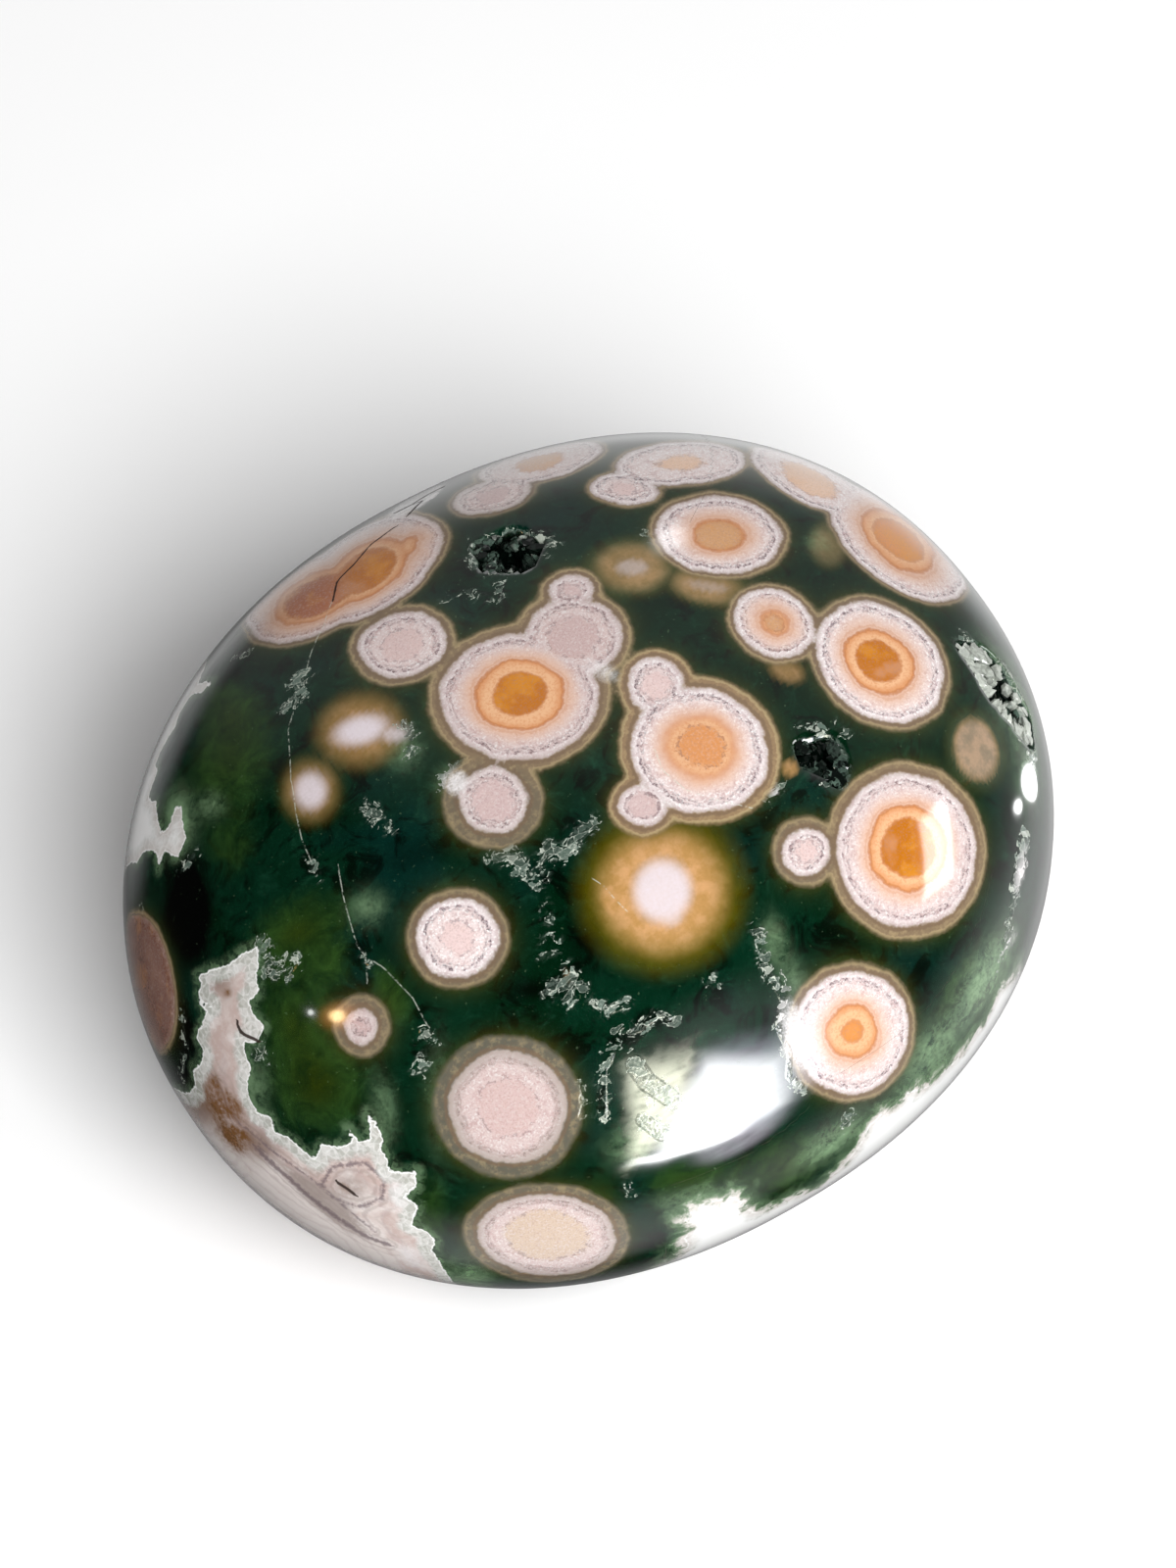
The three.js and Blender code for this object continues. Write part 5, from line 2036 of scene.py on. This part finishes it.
@dataclass(frozen=True)
class Glow:
    """A bright shape far away that shows only as a reflection in the polish. Angles in degrees."""

    azimuth: float
    elevation: float
    wide: float  # half its width, as seen from the stone
    high: float
    radiance: float
    roll: float = 0.0  # its width turned anticlockwise from level
    soft: float = 0.2  # share of the half size that the edge fades over
    round: bool = False
    tint: Colour = (1.0, 1.0, 1.0)
    mottle: float = 0.0  # how unevenly it shines
    sides: tuple[Pair, ...] = ()  # instead of a box: each side's direction and its distance

    def lay(self, desk: Desk, sight: Socket) -> Socket:
        """Lays its nodes.

        A direction is measured on the plane that touches the unit sphere at the glow's middle,
        where its half sizes are the tangents of their angles.

        Args:
            desk: the sky's desk.
            sight: the direction looked in.
        Returns:
            Its brightness in that direction.
        """
        away = self.away(desk, sight)
        shine = self.radiance
        if self.mottle:
            patches = desk.noise(sight, 18.0, 4.0, 0.7)
            away = desk.add(away, desk.ramp(patches, self.mottle, -0.5 * self.mottle))
            deep = min(self.mottle, 0.8)
            shine = desk.times(
                desk.ramp(desk.step(patches, 0.3, 0.62), deep, 1 - deep), self.radiance)
        ahead = desk.dot(sight, np.array(heading(self.azimuth, self.elevation)))
        inside = desk.step(away, 1 + self.soft, 1 - self.soft)
        return desk.times(inside, desk.step(ahead, 0.0, 0.05), shine)

    def away(self, desk: Desk, sight: Socket) -> Socket:
        """Lays the nodes that measure how far a direction lies from the glow's middle.

        Args:
            desk: the sky's desk.
            sight: the direction looked in.
        Returns:
            The distance, 1 on the glow's edge.
        """
        out = np.array(heading(self.azimuth, self.elevation))
        level = unit(np.cross([0.0, 0.0, 1.0], out))
        rise = np.cross(out, level)
        front = desk.maths("MAXIMUM", desk.dot(sight, out), 0.01)
        parts = []
        for angle, reach in self.sides or ((self.roll, self.wide), (self.roll + 90, self.high)):
            a = math.radians(angle)
            axis = (level * math.cos(a) + rise * math.sin(a)) / math.tan(math.radians(reach))
            part = desk.maths("DIVIDE", desk.dot(sight, axis), front)
            parts.append(part if self.sides else desk.maths("ABSOLUTE", part))
        if self.round:
            return desk.maths("SQRT", desk.add(*(desk.times(part, part) for part in parts)))
        return reduce(lambda a, b: desk.maths("MAXIMUM", a, b), parts)


def heading(azimuth: float, elevation: float) -> tuple[float, float, float]:
    """Unit direction of an azimuth and elevation in degrees."""
    a, e = math.radians(azimuth), math.radians(elevation)
    return math.cos(e) * math.cos(a), math.cos(e) * math.sin(a), math.sin(e)


CARDS = (
    Card("key_window", -98, 49, 900, 500, 11.8),
    Card("side_fill", -62, 40, 700, 400, 2.3),
    Card("top_fill", 60, 70, 600, 500, 0.35),
    Card("low_fill", -72, 6, 900, 500, 1.6),
)

GLOWS = (
    # The window: its bright pane, the pane's soft left half, the sill and the haze over it.
    Glow(-84.8, 3.8, 0, 0, 14.0, 0, 0.32, mottle=0.16, sides=(
        (32.7, 11.4), (0.0, 10.2), (-90.0, 12.4), (-106.9, 11.6), (153.9, 7.6), (165.2, 6.8))),
    Glow(-83.6, 4.6, 0, 0, 5.0, 0, 0.3, False, rgb("e4e6f6"), 0.5, (
        (60.0, 18.0), (32.7, 14.5), (0.0, 13.0), (-40.0, 17.0), (-90.0, 16.4), (-106.9, 13.8),
        (153.9, 10.0), (165.2, 10.0))),
    Glow(-93.8, 15.9, 0, 0, 16.0, 0, 0.4, False, rgb("fbfbe4"), 1.8, (
        (65.7, 13.6), (-9.1, 5.4), (-52.7, 12.5), (176.8, 4.8))),
    Glow(-90, -7, 9.5, 1.5, 12.0, -21, 0.3),
    Glow(-81, -13, 7.0, 6.0, 5.0, -60, 0.45, True, rgb("e6e2ee"), 0.6),
    Glow(-84, 30, 12, 9, 0.5, 0, 0.9, True),
    # The side window in the right orbs, and the bright spots on the right edge.
    Glow(-34, 18.6, 9, 4.6, 7.0, 48, 0.15),
    Glow(-70, 12, 13, 3, 1.6, 85, 0.8, True, rgb("e6f0ff")),
    Glow(-4.5, -24, 8.0, 2.5, 14.0, 119, 0.12, True),
    Glow(-13.4, -15.5, 3.2, 1.1, 14.0, 115, 0.2, True),
    # Small lamps.
    Glow(-179, 35.3, 2.2, 1.3, 16.0, 66, 0.5, True, rgb("ffdca0")),
    Glow(-179, 35.3, 4.6, 2.4, 3.0, 66, 0.8, True, rgb("ff9c4a")),
    Glow(174.9, 29.6, 0.9, 0.6, 14.0, 78, 0.4, True),
    Glow(50.5, 36.8, 3.4, 1.6, 3.5, 85, 0.7, True),
    # The pale room behind, and the table past the stone's own edge.
    Glow(50, 25, 58, 50, 0.22, 0, 0.7, True),
    Glow(54, -14, 26, 24, 0.6, 0, 0.7, True),
    Glow(14, -40, 34, 20, 0.5, 0, 0.7, True),
    Glow(58, -57, 34, 34, 0.14, 0, 0.6, True),
    Glow(98, -26, 17, 15, 0.45, 0, 0.7, True, mottle=0.3),
    Glow(-12, -20, 26, 22, 0.3, 0, 0.7, True),
    Glow(-112, -46, 34, 18, 0.5, 0, 0.7, True),
    Glow(-40, -30, 22, 18, 0.3, 0, 0.7, True),
)


@dataclass
class Studio:
    """The pale floor, the sky with its reflections, the soft lights and the camera."""

    view: MainView
    offset: Array
    floor_size: float = 4000.0  # mm
    floor_gap: float = 0.02  # mm under the foot
    sky: float = 0.2
    dusk: float = 0.01  # the sky's brightness as a reflection, away from its glows

    def build(self) -> None:
        """Makes all of it."""
        self.make_floor()
        self.make_sky()
        for card in CARDS:
            card.build()
        self.make_camera()
        bpy.context.scene.view_settings.view_transform = "Standard"

    def make_floor(self) -> None:
        """A pale seamless floor under the stone, with a faint unevenness."""
        material, desk, shader = start_material("pale_floor")
        uneven = desk.noise(desk.millimetres(), 0.01, 2.0)
        desk.fill(
            shader, Base_Color=desk.mix(uneven, rgb("f6f6f6"), rgb("fbfbfb")), Roughness=0.9,
            Specular_IOR_Level=0.0)
        half, low = self.floor_size / 2, -self.floor_gap
        points = np.array([
            [-half, -half, low], [half, -half, low], [half, half, low], [-half, half, low]])
        floor = make_piece("studio_floor", points, np.array([[0, 1, 2, 3]]), material, False)
        floor.visible_glossy = False

    def make_sky(self) -> None:
        """Even white light from all round; a mirror sees a dim sky with bright shapes instead."""
        world = bpy.data.worlds.new("studio_sky")
        world.use_nodes = True
        desk = Desk(world.node_tree)
        sight = desk.node("ShaderNodeTexCoord").outputs["Generated"]
        path = desk.node("ShaderNodeLightPath")
        shown = (self.dusk,) * 3
        for glow in GLOWS:
            shown = desk.mix(1.0, shown, desk.scaled(glow.tint, glow.lay(desk, sight)), "ADD")
        gloss = desk.times(path.outputs["Is Glossy Ray"],
                           desk.maths("LESS_THAN", path.outputs["Diffuse Depth"], 0.5))
        plain = desk.fill(
            desk.node("ShaderNodeBackground"), Color=(1.0, 1.0, 1.0),
            Strength=desk.ramp(path.outputs["Is Camera Ray"], 1.0 - self.sky, self.sky))
        mirrored = desk.fill(desk.node("ShaderNodeBackground"), Color=shown)
        both = desk.node("ShaderNodeMixShader")
        for socket, value in zip(both.inputs, (gloss, plain.outputs[0], mirrored.outputs[0])):
            desk.put(socket, value)
        desk.fill(desk.node("ShaderNodeOutputWorld"), Surface=both.outputs[0])
        bpy.context.scene.world = world

    def make_camera(self) -> None:
        """The main camera, straight at the frame's middle."""
        view = self.view
        right, up, back = view.axes
        data = bpy.data.cameras.new("main_camera")
        data.sensor_width = view.sensor
        data.lens = view.focal * view.sensor / view.frame_height
        data.clip_start, data.clip_end = 0.01, 20.0
        camera = bpy.data.objects.new("main_camera", data)
        turn = Matrix([right, up, back]).transposed().to_4x4()
        camera.matrix_world = Matrix.Translation(Vector((view.eye + self.offset) * MM)) @ turn
        bpy.context.scene.collection.objects.link(camera)
        bpy.context.scene.camera = camera


def main() -> None:
    """Builds the studio, the stone and its crusts, and reports each."""
    logging.basicConfig(level=logging.INFO, format="%(name)s: %(message)s")
    pebble = Pebble()
    view = MainView(pebble)
    low, high = (np.array(corner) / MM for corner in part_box("stone"))
    round_all = pebble.point(unit(np.random.default_rng(1).normal(size=(40000, 3))))
    middle = (round_all.min(0) + round_all.max(0)) / 2
    offset = np.array([*((low + high) / 2 - middle)[:2], low[2] - pebble.foot])
    LOG.info("stone's middle stands at %s mm", offset.round(3).tolist())
    Studio(view, offset).build()
    grain = crystal_grain_group()
    jasper = JasperFinish().build(grain)
    quartz = QuartzFinish().build(grain)
    stone = JasperStone(pebble, view, offset).build(jasper)
    LOG.info("%s has %d faces", stone.name, len(stone.data.polygons))
    for pocket in POCKETS:
        crust = CrystalCrust(pebble, pocket, offset).build(quartz)
        LOG.info("%s has %d faces", crust.name, len(crust.data.polygons))


if __name__ == "__main__":
    main()
